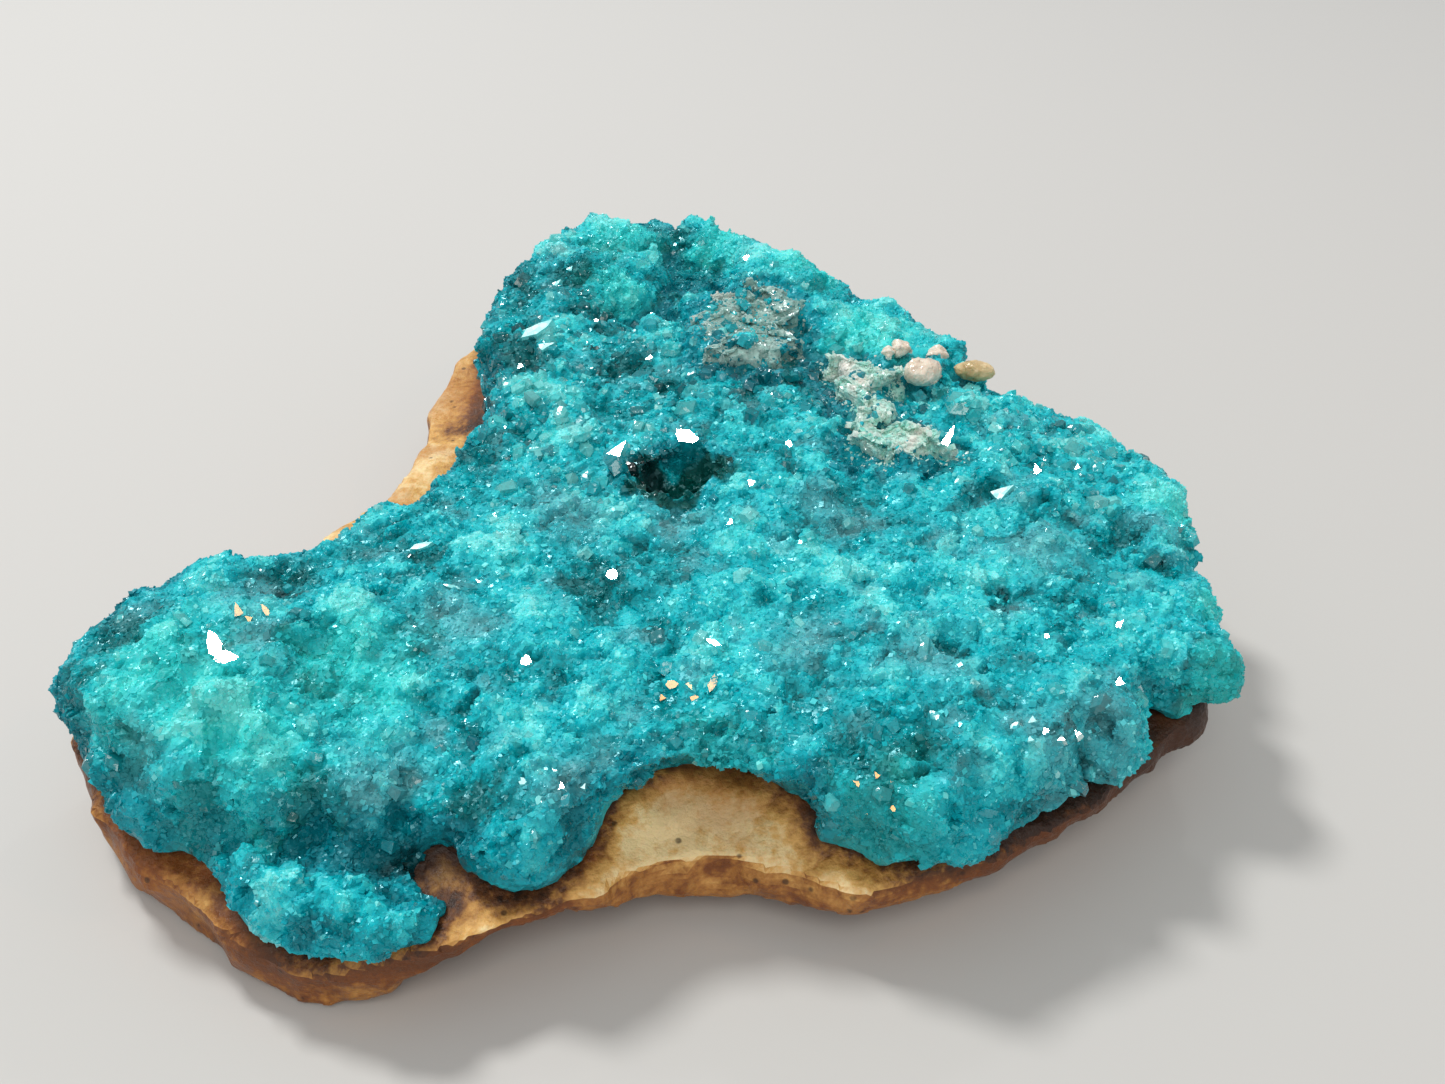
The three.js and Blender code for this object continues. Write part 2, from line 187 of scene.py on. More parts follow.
# %% The tree wrapper
class Tree:
    """Builds one node tree."""

    def __init__(self, tree):
        self.tree = tree

    def node(self, kind, inputs=None, **options):
        """Adds a node. `inputs` maps an input's name or number to a value or to another node's socket."""
        made = self.tree.nodes.new(kind)
        for key, value in options.items():
            setattr(made, key, value)
        return self.fill(made, inputs or {})

    def fill(self, made, inputs):
        """Gives a node's inputs their values or sockets, and returns the node."""
        for key, value in inputs.items():
            self.plug(made.inputs[key], value)
        return made

    def plug(self, socket, value):
        """Links a socket to another one, or gives it a value."""
        if isinstance(value, bpy.types.NodeSocket):
            self.tree.links.new(value, socket)
        else:
            socket.default_value = value

    def math(self, operation, a, b=0.0, clamp=False):
        """One operation on two numbers."""
        made = self.node("ShaderNodeMath", {0: a, 1: b}, operation=operation, use_clamp=clamp)
        return made.outputs[0]

    def plus(self, a, b):
        """The sum of two numbers."""
        return self.math("ADD", a, b)

    def minus(self, a, b):
        """The difference of two numbers."""
        return self.math("SUBTRACT", a, b)

    def times(self, a, b):
        """The product of two numbers."""
        return self.math("MULTIPLY", a, b)

    def centred(self, value):
        """A value of 0 to 1 moved to -0.5 to 0.5."""
        return self.minus(value, 0.5)

    def rest(self, value):
        """What a value leaves of 1, never below 0."""
        return self.math("SUBTRACT", 1.0, value, clamp=True)

    def vector(self, operation, a, b=(0, 0, 0)):
        """One operation on two vectors."""
        made = self.node("ShaderNodeVectorMath", {0: a, 1: b}, operation=operation)
        return made.outputs[0]

    def dot(self, a, b):
        """How far one vector reaches along another, times the other's length."""
        made = self.node("ShaderNodeVectorMath", {0: a, 1: b}, operation="DOT_PRODUCT")
        return made.outputs["Value"]

    def axis(self, vector, number):
        """One of a vector's three parts."""
        return self.node("ShaderNodeSeparateXYZ", {0: vector}).outputs[number]

    def scaled(self, vector, amount):
        """A vector made longer by a number."""
        made = self.node("ShaderNodeVectorMath", {0: vector, "Scale": amount}, operation="SCALE")
        return made.outputs[0]

    def in_units(self, vector, size):
        """A vector measured in multiples of a size that is a socket."""
        return self.scaled(vector, self.math("DIVIDE", 1.0, size))

    def remap(self, value, low, high, to_low=0.0, to_high=1.0, soft=True):
        """Turns one range of numbers into another, held at its ends."""
        kind = "SMOOTHSTEP" if soft else "LINEAR"
        named = {"Value": value, "From Min": low, "From Max": high, "To Min": to_low, "To Max": to_high}
        return self.node("ShaderNodeMapRange", named, interpolation_type=kind).outputs[0]

    def noise(self, vector, size, detail=3.0, roughness=0.5):
        """Cloudy noise whose clouds are about `size` metres across."""
        named = {"Vector": vector, "Scale": 1.0 / size, "Detail": detail, "Roughness": roughness}
        return self.node("ShaderNodeTexNoise", named).outputs["Fac"]

    def cells(self, vector, size):
        """Voronoi cells about `size` metres across; returns the whole node."""
        return self.node("ShaderNodeTexVoronoi", {"Vector": vector, "Scale": 1.0 / size})

    def warped(self, vector, size, amount):
        """A place pushed to and fro by noise, so that cells laid out on it have bent walls."""
        push = self.node("ShaderNodeTexNoise", {"Vector": vector, "Scale": 1 / size, "Detail": 2.0})
        way = self.vector("SUBTRACT", push.outputs["Color"], (0.5, 0.5, 0.5))
        return self.vector("ADD", vector, self.scaled(way, amount))

    def facets(self, vector, size):
        """Flat facets that are each tilted their own way: their heights, and each one's tilt as a vector."""
        cell = self.cells(vector, size)
        slant = self.vector("SUBTRACT", cell.outputs["Color"], (0.5, 0.5, 0.5))
        reach = self.vector("SUBTRACT", vector, cell.outputs["Position"])
        return self.dot(slant, reach), slant

# %% Starting and running Geometry Nodes trees
def geometry_tree(name, numbers, objects=()):
    """A Geometry Nodes tree with a geometry input, then number inputs with start values, then objects."""
    tree = bpy.data.node_groups.new(name, "GeometryNodeTree")
    tree.is_modifier = True
    tree.interface.new_socket(name="Geometry", in_out="INPUT", socket_type="NodeSocketGeometry")
    for label, value in numbers.items():
        kind = "NodeSocketInt" if isinstance(value, int) else "NodeSocketFloat"
        tree.interface.new_socket(name=label, in_out="INPUT", socket_type=kind).default_value = value
    for label in objects:
        tree.interface.new_socket(name=label, in_out="INPUT", socket_type="NodeSocketObject")
    tree.interface.new_socket(name="Geometry", in_out="OUTPUT", socket_type="NodeSocketGeometry")
    wrapper = Tree(tree)
    entry = wrapper.node("NodeGroupInput")
    leave = wrapper.node("NodeGroupOutput")
    return wrapper, entry.outputs, leave.inputs


def stored(t, name):
    """A number that the mesh stores at each point, for a Geometry Nodes tree."""
    return t.node("GeometryNodeInputNamedAttribute", {"Name": name}, data_type="FLOAT").outputs[0]


def run_tree(obj, wrapper, values):
    """Hangs a Geometry Nodes tree on an object with its inputs set by identifier, and returns its mesh."""
    change = obj.modifiers.new("nodes", "NODES")
    change.node_group = wrapper.tree
    for item in wrapper.tree.interface.items_tree:
        if item.in_out == "INPUT" and item.name in values:
            change[item.identifier] = values[item.name]
    mesh = evaluated_mesh(obj)
    obj.modifiers.remove(change)
    return mesh

# %% [markdown]
# ## Blocks in the crust
# Close up, the crust isn't a smooth skin. Blunt crystals a millimetre or two across are grown into each
# other, most of them lying over and half sunk. Dioptase grows as a short six-sided prism closed by three
# slanting faces, so that is the shape to scatter. The big ones are fused with the crust by a second
# remesh, because real ones share their walls and leave no seams.

# %% The two crystal shapes
def mesh_from(name, points, faces):
    """A mesh from points and faces, with every face turned outwards."""
    mesh = bpy.data.meshes.new(name)
    mesh.from_pydata(points, [], faces)
    with opened(mesh) as shell:
        bmesh.ops.recalc_face_normals(shell, faces=shell.faces)
    return mesh


def ring(odd, even):
    """Six points round a circle of radius 1, at one height and another in turn."""
    points = []
    for k in range(6):
        angle = math.pi * k / 3
        points.append((math.cos(angle), math.sin(angle), odd if k % 2 else even))
    return points


def prism_crystal(name, foot, shoulder, tip):
    """A six-sided prism of radius 1 from `foot` to `shoulder`, closed at the top by three slanting faces."""
    points = ring(foot, foot) + ring(shoulder, shoulder - (tip - shoulder)) + [(0.0, 0.0, tip)]
    faces = [tuple(range(5, -1, -1))]
    faces += [(k, (k + 1) % 6, 6 + (k + 1) % 6, 6 + k) for k in range(6)]
    faces += [(12, 6 + (k + 5) % 6, 6 + k, 6 + (k + 1) % 6) for k in (0, 2, 4)]
    return link(bpy.data.objects.new(name, mesh_from(name, points, faces)))


def rhomb_grain(name, stretch):
    """A rhombohedron, like a cube pulled along one diagonal: the shape of the finest grains."""
    points = [(0.0, 0.0, stretch)] + ring(stretch / 3, -stretch / 3) + [(0.0, 0.0, -stretch)]
    faces = [(0, 1 + (k + 5) % 6, 1 + k, 1 + (k + 1) % 6) for k in (0, 2, 4)]
    faces += [(7, 1 + (k + 1) % 6, 1 + k, 1 + (k + 5) % 6) for k in (1, 3, 5)]
    return link(bpy.data.objects.new(name, mesh_from(name, points, faces)))


prism = prism_crystal("prism_shape", foot=-0.9, shoulder=0.45, tip=0.85)
rhomb = rhomb_grain("rhomb_shape", stretch=1.25)
PRISM_POINTS = len(prism.data.vertices)
print("prism faces:", len(prism.data.polygons), "grain faces:", len(rhomb.data.polygons))

# %% [markdown]
# ## Scattering crystals
# One Geometry Nodes tree scatters a crystal shape over a surface. Points are spread with a least distance
# between them, each takes the surface's direction and a random tilt and spin, and each crystal gets its
# own size. Noise thins the crystals out in places, as in a real druse. The tree ends in Realize Instances
# and Set Material, so that what comes out is plain mesh.

# %% The scatter tree
def random_vector(t, low, high, seed):
    """A random vector for each crystal, with all its parts between two numbers."""
    named = {"Min": (low, low, low), "Max": (high, high, high), "Seed": seed}
    return t.node("FunctionNodeRandomValue", named, data_type="FLOAT_VECTOR").outputs[0]


def scatter_tree(name):
    """The tree described above."""
    numbers = {"Distance": 0.001, "Density": 1e6, "Least Size": 0.0005, "Most Size": 0.001, "Tilt": 0.6,
               "Sink": 0.0, "Sink Share": 0.0, "Patch Size": 0.003, "Patch Low": 0.0, "Patch High": 0.1,
               "Seed": 1}
    t, given, out = geometry_tree(name, numbers, objects=["Shape"])
    seed = given["Seed"]
    place = t.node("GeometryNodeInputPosition").outputs[0]
    cloud = t.noise(t.in_units(place, given["Patch Size"]), 1.0, 2.0)
    patch = t.times(t.remap(cloud, given["Patch Low"], given["Patch High"]), t.rest(stored(t, "bare")))
    points = t.node("GeometryNodeDistributePointsOnFaces", {
        "Mesh": given["Geometry"], "Distance Min": given["Distance"], "Density Max": given["Density"],
        "Density Factor": patch, "Seed": seed,
    }, distribute_method="POISSON")
    turn = random_vector(t, 0.0, 1.0, seed)
    widest = t.times(given["Tilt"], 2.0)
    lean = t.times(t.centred(t.axis(turn, 0)), widest)
    lean_too = t.times(t.centred(t.axis(turn, 1)), widest)
    spin = t.times(t.axis(turn, 2), 2 * math.pi)
    turn = t.node("ShaderNodeCombineXYZ", {0: lean, 1: lean_too, 2: spin}).outputs[0]
    turned = t.node("FunctionNodeRotateRotation", {
        "Rotation": points.outputs["Rotation"],
        "Rotate By": t.node("FunctionNodeEulerToRotation", {0: turn}).outputs[0],
    }, rotation_space="LOCAL").outputs[0]
    named = {2: 0.0, 3: 1.0, "Seed": t.plus(seed, 11.0)}
    share = t.node("FunctionNodeRandomValue", named, data_type="FLOAT").outputs[1]
    share = t.math("POWER", share, 2.0)
    spread = t.minus(given["Most Size"], given["Least Size"])
    size = t.plus(given["Least Size"], t.times(spread, share))
    stretch = random_vector(t, 0.65, 1.4, t.plus(seed, 23.0))
    depth = t.times(t.plus(given["Sink"], t.times(size, given["Sink Share"])), -1.0)
    sunk = t.node("GeometryNodeSetPosition", {
        "Geometry": points.outputs["Points"], "Offset": t.scaled(points.outputs["Normal"], depth),
    })
    shape = t.node("GeometryNodeObjectInfo", {"Object": given["Shape"]}, transform_space="ORIGINAL")
    crystals = t.node("GeometryNodeInstanceOnPoints", {
        "Points": sunk.outputs[0], "Instance": shape.outputs["Geometry"], "Rotation": turned,
        "Scale": t.scaled(stretch, size),
    })
    real = t.node("GeometryNodeRealizeInstances", {0: crystals.outputs[0]})
    finish = t.node("GeometryNodeSetMaterial", {0: real.outputs[0]})
    t.plug(out[0], finish.outputs[0])
    return t


scatter = scatter_tree("scatter crystals")
print("scatter tree nodes:", len(scatter.tree.nodes))

# %% Running the scatter tree
def scatter_on(surface, shape, seed, distance, density, sizes, tilt, sink, patch):
    """Scatters a shape over a surface. `sizes` are the least and the most, in mm. `sink` is a depth in mm
    and a share of the crystal's size. `patch` is the size in mm of the clouds of noise that thin the
    crystals out, and the two values between which they do."""
    return run_tree(surface, scatter, {
        "Distance": distance * MM, "Density": density, "Least Size": sizes[0] * MM,
        "Most Size": sizes[1] * MM, "Tilt": tilt, "Sink": sink[0] * MM, "Sink Share": sink[1],
        "Patch Size": patch[0] * MM, "Patch Low": patch[1], "Patch High": patch[2], "Seed": seed,
        "Shape": shape,
    })

# %% [markdown]
# ## The body of the crust
# The crust's solid is smooth and holds its full height. Crystals will stand on it, so its copy is drawn in
# a little first. Blocks and knobs are fused into it by a remesh, and then a tree of nodes gives it the
# look of an aggregate: rounded lumps, and chunks with flat slanting tops that meet in sharp seams.

# %% Measures and rays
BODY_VOXEL = 0.18 * MM  # the quads of the finished body
TOP_SHRINK = 0.55 * MM  # how far faces that look up are drawn in
SIDE_SHRINK = 0.12 * MM  # how far all outer faces are drawn in
CONTACT_DROP = 0.45 * MM  # how far the faces over the rock sink into it
UNDER_REACH = 2.2 * MM  # rock nearer than this hides a face that looks down on it
VIEWER = Vector((0.0022358, -0.0473655, 0.0376183))  # m, where the camera stands


def search_tree(mesh):
    """A search tree of a mesh's faces, for rays and nearest points."""
    return BVHTree.FromPolygons([v.co for v in mesh.vertices], [tuple(p.vertices) for p in mesh.polygons])


rock_search = search_tree(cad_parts["matrix"].data)
crust_search = search_tree(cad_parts["dioptase_crust"].data)


def hidden_over_rock(mesh):
    """1 where a surface faces down onto the rock and no light or eye can reach it."""
    place, facing = coords(mesh), normals(mesh)
    hidden = np.zeros(len(place))
    for i in np.nonzero(facing[:, 2] < 0.1)[0]:
        start = Vector(place[i]) + Vector((0, 0, MM))
        hidden[i] = rock_search.ray_cast(start, Vector((0, 0, -1)), UNDER_REACH)[0] is not None
    return hidden

# %% Ragged rims and the open pocket
VUG = (-1.7, -5.5)  # plan mm, the middle of the open pocket
VUG_RADII = (2.05, 1.4)  # mm
VUG_TURN = 0.35  # radians


def ragged(place):
    """Plan places shifted to and fro by a few waves, so that a patch laid out on them has a ragged rim."""
    x, y = place[:, 0] / MM, place[:, 1] / MM
    along = x + 0.32 * np.sin(2.3 * y + 1.1) + 0.20 * np.sin(4.3 * x - 3.1 * y)
    across = y + 0.32 * np.sin(2.1 * x + 0.4) + 0.20 * np.sin(3.7 * y + 3.3 * x)
    along = along + 0.12 * np.sin(7.7 * y + 5.3 * x)
    across = across + 0.12 * np.sin(8.1 * x - 4.9 * y)
    return along * MM, across * MM


def in_vug(place):
    """1 inside the open pocket, falling to 0 just outside it."""
    middle = spot(*VUG)
    x, y = ragged(place)
    x, y = x - middle.x, y - middle.y
    along = (x * math.cos(VUG_TURN) + y * math.sin(VUG_TURN)) / (VUG_RADII[0] * MM)
    across = (-x * math.sin(VUG_TURN) + y * math.cos(VUG_TURN)) / (VUG_RADII[1] * MM)
    return np.exp(-(along ** 2 + across ** 2) ** 5)

# %% [markdown]
# ## Patches of the crust
# The crust isn't the same all over. Pale mounds rise a little, and dark teal channels dip between them;
# their dark tone is partly the mineral's own and partly painted shade. Some parts are greener or cream, some
# look hazy, partly from cloudy crystal and partly from painted sheen, in some stand clear blocky crystals,
# and a few gaps are painted dark as shade. Most patches were read off as if they lay on a level plane, so
# the line of sight through each of those places is followed on to the crust.

# %% The patches
# Kind, place, radius, and how far the crust rises or dips there, all in mm. These lie on level planes, and
# each list starts with the height of its plane.
LEVEL_PATCHES = [
    # the mounds and channels of the back lobe
    (8.3, [
        ("pale", -7.7, 11.3, 1.6, 0.35), ("pale", -4.8, 14.3, 2.0, 0.3), ("pale", -0.5, 13.4, 1.6, 0.45),
        ("pale", 1.2, 10.4, 1.6, 0.45), ("pale", -3.5, 9.5, 0.9, 0.5), ("pale", -4.7, 7.8, 1.1, 0.5),
        ("pale", -1.2, 6.7, 0.6, 0.1), ("pale", 1.6, 7.3, 1.4, 0.2), ("pale", 6.1, 4.2, 2.0, 0.3),
        ("pale", -6.6, 3.6, 0.9, 0.35), ("pale", -6.7, -1.4, 1.4, 0.1), ("deep_tone_and_shade", -2.1, 12.8, 1.3, -0.9),
        ("deep_tone_and_shade", -1.0, 11.0, 1.3, -1.0), ("deep_tone_and_shade", -2.2, 11.4, 1.4, -0.6), ("deep_tone_and_shade", -6.3, 8.1, 1.5, -0.5),
        ("deep_tone_and_shade", -2.0, 8.6, 1.2, -0.6), ("deep_tone_and_shade", -9.2, 7.6, 1.7, -0.1), ("deep_tone_and_shade", -5.2, 5.4, 1.3, -0.4),
        ("deep_tone_and_shade", -8.4, 1.6, 1.4, 0.0), ("deep_tone_and_shade", 3.5, 1.0, 1.4, -0.2), ("deep_tone_and_shade", -4.2, 0.8, 1.1, -0.2),
        ("deep_tone_and_shade", 3.6, -1.9, 1.1, -0.2),
    ]),
    # around the pocket and down the middle
    (8.0, [
        ("pale", -6.2, -4.6, 1.3, 0.1), ("pale", -3.2, -7.8, 1.0, 0.2), ("pale", 0.4, -7.9, 1.0, 0.1),
        ("pale", -7.8, -10.8, 1.8, 0.1), ("pale", -3.4, -11.3, 0.5, 0.3), ("pale", -2.8, -10.4, 0.6, 0.35),
        ("cloud_and_sheen", -5.4, -9.4, 1.6, 0.0), ("cloud_and_sheen", -1.6, -9.4, 1.2, 0.0), ("deep_tone_and_shade", -5.3, -12.1, 1.3, -0.1),
        ("deep_tone_and_shade", -1.9, -14.9, 1.0, -0.1), ("deep_tone_and_shade", -3.9, -13.4, 0.7, -0.1), ("pale", 1.2, -12.2, 1.6, 0.0),
        ("pale", 3.3, -12.0, 1.5, 0.0), ("pale", 8.0, -12.6, 1.3, 0.0), ("cloud_and_sheen", 3.8, -9.2, 1.2, 0.0),
        ("deep_tone_and_shade", 2.4, -6.4, 0.6, -0.3), ("cloud_and_sheen", 6.0, -6.6, 0.7, 0.1), ("deep_tone_and_shade", 5.2, -6.1, 0.9, -0.2),
        ("deep_tone_and_shade", 7.6, -6.4, 1.1, -0.2), ("deep_tone_and_shade", 7.7, -9.7, 0.6, -0.3), ("deep_tone_and_shade", 6.6, -16.0, 0.5, -0.4),
        ("deep_tone_and_shade", 7.6, -16.2, 0.5, -0.4), ("deep_tone_and_shade", 9.0, -15.9, 0.5, -0.4), ("cloud_and_sheen", 10.6, -11.4, 1.4, 0.0),
        ("cloud_and_sheen", 6.4, -17.0, 1.2, 0.1), ("pale", 5.5, -16.0, 0.9, 0.0), ("cloud_and_sheen", 2.5, -16.4, 1.2, 0.0),
        ("pale", 4.9, -13.4, 1.0, 0.0),
    ]),
    # the left lobe and its fingers
    (8.0, [
        ("green", -16.7, -17.8, 2.6, 0.1), ("pale", -16.9, -17.6, 2.1, 0.2),
        ("green", -13.8, -20.2, 2.4, 0.0), ("pale", -18.3, -19.0, 0.8, 0.2),
        ("pale", -12.0, -14.8, 1.1, 0.2), ("green", -11.2, -17.4, 2.2, 0.0),
        ("pale", -10.9, -18.3, 1.2, 0.1), ("deep_tone_and_shade", -18.3, -15.3, 1.3, -0.2),
        ("deep_tone_and_shade", -14.1, -23.6, 1.2, 0.0), ("deep_tone_and_shade", -12.6, -16.4, 1.1, -0.3),
        ("cloud_and_sheen", -14.2, -16.2, 1.0, 0.0), ("deep_tone_and_shade", -13.5, -13.6, 1.0, -0.2),
        ("cloud_and_sheen", -15.0, -13.9, 1.2, 0.1), ("cloud_and_sheen", -8.4, -15.3, 1.3, 0.0), ("deep_tone_and_shade", -11.1, -23.6, 1.2, 0.0),
        ("cloud_and_sheen", -9.6, -22.0, 1.1, 0.0), ("cloud_and_sheen", -4.0, -22.0, 1.4, 0.0), ("pale", -5.2, -20.6, 1.3, 0.1),
        ("deep_tone_and_shade", -6.6, -22.6, 1.2, 0.0), ("deep_tone_and_shade", -9.8, -11.9, 0.8, 0.0),
    ]),
    # the right side
    (7.5, [
        ("pale", 10.1, -0.4, 1.3, 0.1), ("pale", 14.0, -2.8, 1.2, 0.2), ("pale", 12.5, -4.0, 0.9, 0.0),
        ("deep_tone_and_shade", 13.4, -9.8, 0.7, -0.3), ("deep_tone_and_shade", 10.6, -20.2, 0.6, -0.8), ("cloud_and_sheen", 9.4, -20.0, 1.2, 0.0),
        ("deep_tone_and_shade", 4.2, -20.6, 2.0, 0.0), ("green", 4.4, -23.4, 1.6, 0.0), ("deep_tone_and_shade", 1.0, -19.8, 1.0, 0.0),
    ]),
    # the lobes of the right rim
    (6.0, [
        ("pale", 16.0, -6.0, 1.5, 0.4), ("cloud_and_sheen", 15.4, -7.6, 0.8, 0.2), ("deep_tone_and_shade", 14.4, -7.6, 0.6, -0.4),
        ("pale", 16.0, -9.0, 0.9, 0.4), ("cloud_and_sheen", 11.6, -18.4, 1.6, 0.2),
    ]),
    # where clear blocky crystals stand
    (8.0, [
        ("blocky", -6.0, 3.0, 4.0, 0.0), ("blocky", -1.0, 1.0, 4.0, 0.0), ("blocky", 3.5, -1.0, 3.5, 0.0),
        ("blocky", -7.5, -2.0, 3.0, 0.0), ("blocky", 8.0, -3.0, 3.0, 0.0), ("blocky", -4.5, -6.5, 3.0, 0.0),
        ("blocky", 13.0, -5.5, 2.4, 0.0),
    ]),
]
# These were placed straight in plan, to fill in what the first ones left out.
PLAN_PATCHES = [
    # the mounds and channels of the back lobe
    ("pale", -2.7, 4.4, 1.1, 0.45), ("deep_tone_and_shade", -3.2, 14.9, 0.7, -0.4), ("deep_tone_and_shade", 0.0, 10.2, 0.8, -0.8),
    ("deep_tone_and_shade", -2.9, 7.3, 1.3, -0.8), ("deep_tone_and_shade", 0.6, 2.2, 1.2, -0.1), ("green", -4.7, 12.4, 2.0, 0.0),
    ("green", -0.3, 12.6, 1.6, 0.0), ("green", 3.9, 9.9, 1.9, 0.0), ("green", 6.2, 4.4, 1.9, 0.0),
    ("green", -4.8, 8.4, 1.3, 0.0), ("pale", 3.8, 10.2, 1.3, 0.2),
    # around the pocket and down the middle
    ("deep_tone_and_shade", -1.6, -5.7, 1.9, -0.9),
    # the left lobe and its fingers
    ("pale", -15.4, -18.6, 2.0, 0.3), ("deep_tone_and_shade", -19.3, -18.8, 1.6, 0.0), ("cloud_and_sheen", -17.9, -19.0, 0.9, 0.4),
    ("cloud_and_sheen", -16.9, -20.6, 0.9, 0.3), ("deep_tone_and_shade", -20.6, -16.4, 1.2, 0.0), ("deep_tone_and_shade", -8.5, -21.8, 0.9, -1.3),
    ("deep_tone_and_shade", -10.6, -21.3, 0.7, -0.6), ("deep_tone_and_shade", -12.4, -21.6, 0.8, -0.6), ("pale", -12.6, -22.6, 1.0, 0.1),
    ("deep_tone_and_shade", -15.0, -11.2, 0.9, -0.4),
    # the right side and its rim lobes
    ("deep_tone_and_shade", 15.6, -10.2, 0.5, -0.5), ("pale", 15.8, -11.5, 0.7, 0.3), ("deep_tone_and_shade", 15.3, -14.0, 0.5, -0.4),
    ("green", 16.7, -6.8, 1.3, 0.0), ("green", 16.8, -11.3, 0.8, 0.0), ("green", 16.6, -14.8, 1.4, 0.0),
    ("deep_tone_and_shade", 15.3, -15.0, 0.4, -0.5), ("deep_tone_and_shade", 17.2, -14.6, 1.3, 0.0), ("green", -0.6, -19.3, 1.6, 0.0),
    # painted shade in the gaps
    ("shade", -1.65, -5.1, 0.5, -0.3), ("shade", -1.75, -5.7, 0.5, -0.4), ("shade", -1.3, -4.8, 0.3, 0.0),
    ("shade", -2.1, -4.7, 0.5, -0.1), ("shade", -2.75, -4.9, 0.5, -0.2), ("shade", -3.2, -5.2, 0.35, -0.2),
    ("shade", -9.6, -21.6, 0.8, -0.9), ("shade", 9.4, -11.9, 0.3, -0.4), ("shade", 15.3, -15.5, 0.25, -0.3),
    ("shade", 11.5, -18.5, 0.4, -0.4), ("shade", -14.6, -12.3, 0.45, -0.4), ("shade", 7.8, -14.8, 0.3, -0.3),
    # cream parts of the quartz
    ("cream", 5.2, 1.9, 0.9, 0.0), ("cream", 5.4, -0.2, 0.5, 0.0), ("cream", 6.7, 2.0, 0.6, 0.0),
    ("cream", 7.4, -3.2, 0.35, 0.0), ("cream", -0.9, 7.2, 0.7, 0.2), ("cream", -0.2, 7.7, 0.6, 0.2),
    ("cream", -1.2, 6.2, 0.5, 0.1),
]

# %% Where the patches lie on the crust
AGGREGATE_DROP = 0.72 * MM  # how far the finished crust lies below its smooth solid, on the whole


def met_on_crust(x, y, level):
    """Where the line of sight through a place on a level plane meets the crust, in plan millimetres."""
    drop = Vector((0, 0, AGGREGATE_DROP))
    aim = spot(x, y, level) - VIEWER
    hit = crust_search.ray_cast(VIEWER + drop, aim)[0]
    if hit is None:
        return x, y
    return hit.x / MM - PLAN_SHIFT[0], hit.y / MM - PLAN_SHIFT[1]


PATCHES = list(PLAN_PATCHES)
for level, rows in LEVEL_PATCHES:
    for kind, x, y, radius, lift in rows:
        PATCHES.append((kind, *met_on_crust(x, y, level), radius, lift))
print("patches:", len(PATCHES))

# %% How strongly patches are felt
PATCH_KINDS = ("pale", "deep_tone_and_shade", "cloud_and_sheen", "green", "blocky", "cream", "shade")
CALM_MIDDLE = (5.0, -10.0)  # plan mm, the middle of the even part of the crust
CALM_RADII = (14, 9)  # mm
SIDE_SHADE_FADE = (14, 8)  # mm: the painted shade on the sides fades out towards this plan x, over this width


def patch_felt(along, across, x, y, radius):
    """How strongly one round patch is felt: 1 in it, falling steeply to 0 at its rim."""
    middle = spot(x, y)
    away = ((along - middle.x) ** 2 + (across - middle.y) ** 2) / (radius * MM) ** 2
    return np.exp(-away ** 1.5)


def strongest(rows, kind, along, across):
    """How strongly the patches of one kind are felt at each place, where the strongest of them counts."""
    felt = np.zeros(len(along))
    for row in rows:
        if row[0] == kind:
            felt = np.maximum(felt, patch_felt(along, across, *row[1:4]))
    return felt


def patch_strength(kind, place):
    """How strongly one kind of the crust's patches is felt at each place."""
    return strongest(PATCHES, kind, *ragged(place))


def calmness(place):
    """1 over the even middle and right of the crust, 0 over its lumpy back and left lobes."""
    middle = spot(*CALM_MIDDLE)
    along = (place[:, 0] - middle.x) / (CALM_RADII[0] * MM)
    across = (place[:, 1] - middle.y) / (CALM_RADII[1] * MM)
    return np.exp(-(along ** 2 + across ** 2) ** 2)


def side_shade_mask(seats):
    """Where shade is painted on the crust's steep sides: 1 there and 0 on its top, told by the solid piece's
    smooth surface, and weaker to the right.
    """
    slope = [crust_search.find_nearest(Vector(seat))[1].z for seat in seats]
    from_right = (SIDE_SHADE_FADE[0] + PLAN_SHIFT[0] - seats[:, 0] / MM) / SIDE_SHADE_FADE[1]
    return np.clip(from_right, 0.2, 1) * np.clip(1.6 * (0.75 - np.array(slope)), 0, 1)


def write_patches(mesh, seats, each=1):
    """Stores how strongly each kind of patch is felt at every point; `each` points share one seat."""
    calm = calmness(seats)
    for kind in PATCH_KINDS:
        strength = patch_strength(kind, seats) * (1 - (0.45 * calm if kind in ("pale", "deep_tone_and_shade") else 0))
        write_attribute(mesh, kind, np.repeat(strength, each))
    write_attribute(mesh, "vug", np.repeat(np.clip(3 * in_vug(seats), 0, 1), each))
    # painted shade on the crust's steep sides
    write_attribute(mesh, "side", np.repeat(side_shade_mask(seats), each))

# %% Drawing the shell in
# Notches between the lobes of the rim: plan place, radius and depth in mm.
NOTCHES = [
    (14.3, -15.9, 0.9, 1.1), (11.5, -18.5, 0.6, 0.8), (17.9, -5.9, 0.5, 0.7), (17.4, -9.2, 0.6, 0.8),
    (16.2, -12.4, 0.7, 0.7), (-15.1, -21.5, 0.7, 0.7), (2.4, -19.6, 0.6, 0.7), (-8.8, -21.2, 0.7, 0.9),
    (13.6, 1.0, 0.7, 0.5), (-1.9, 14.9, 0.5, 0.5),
]


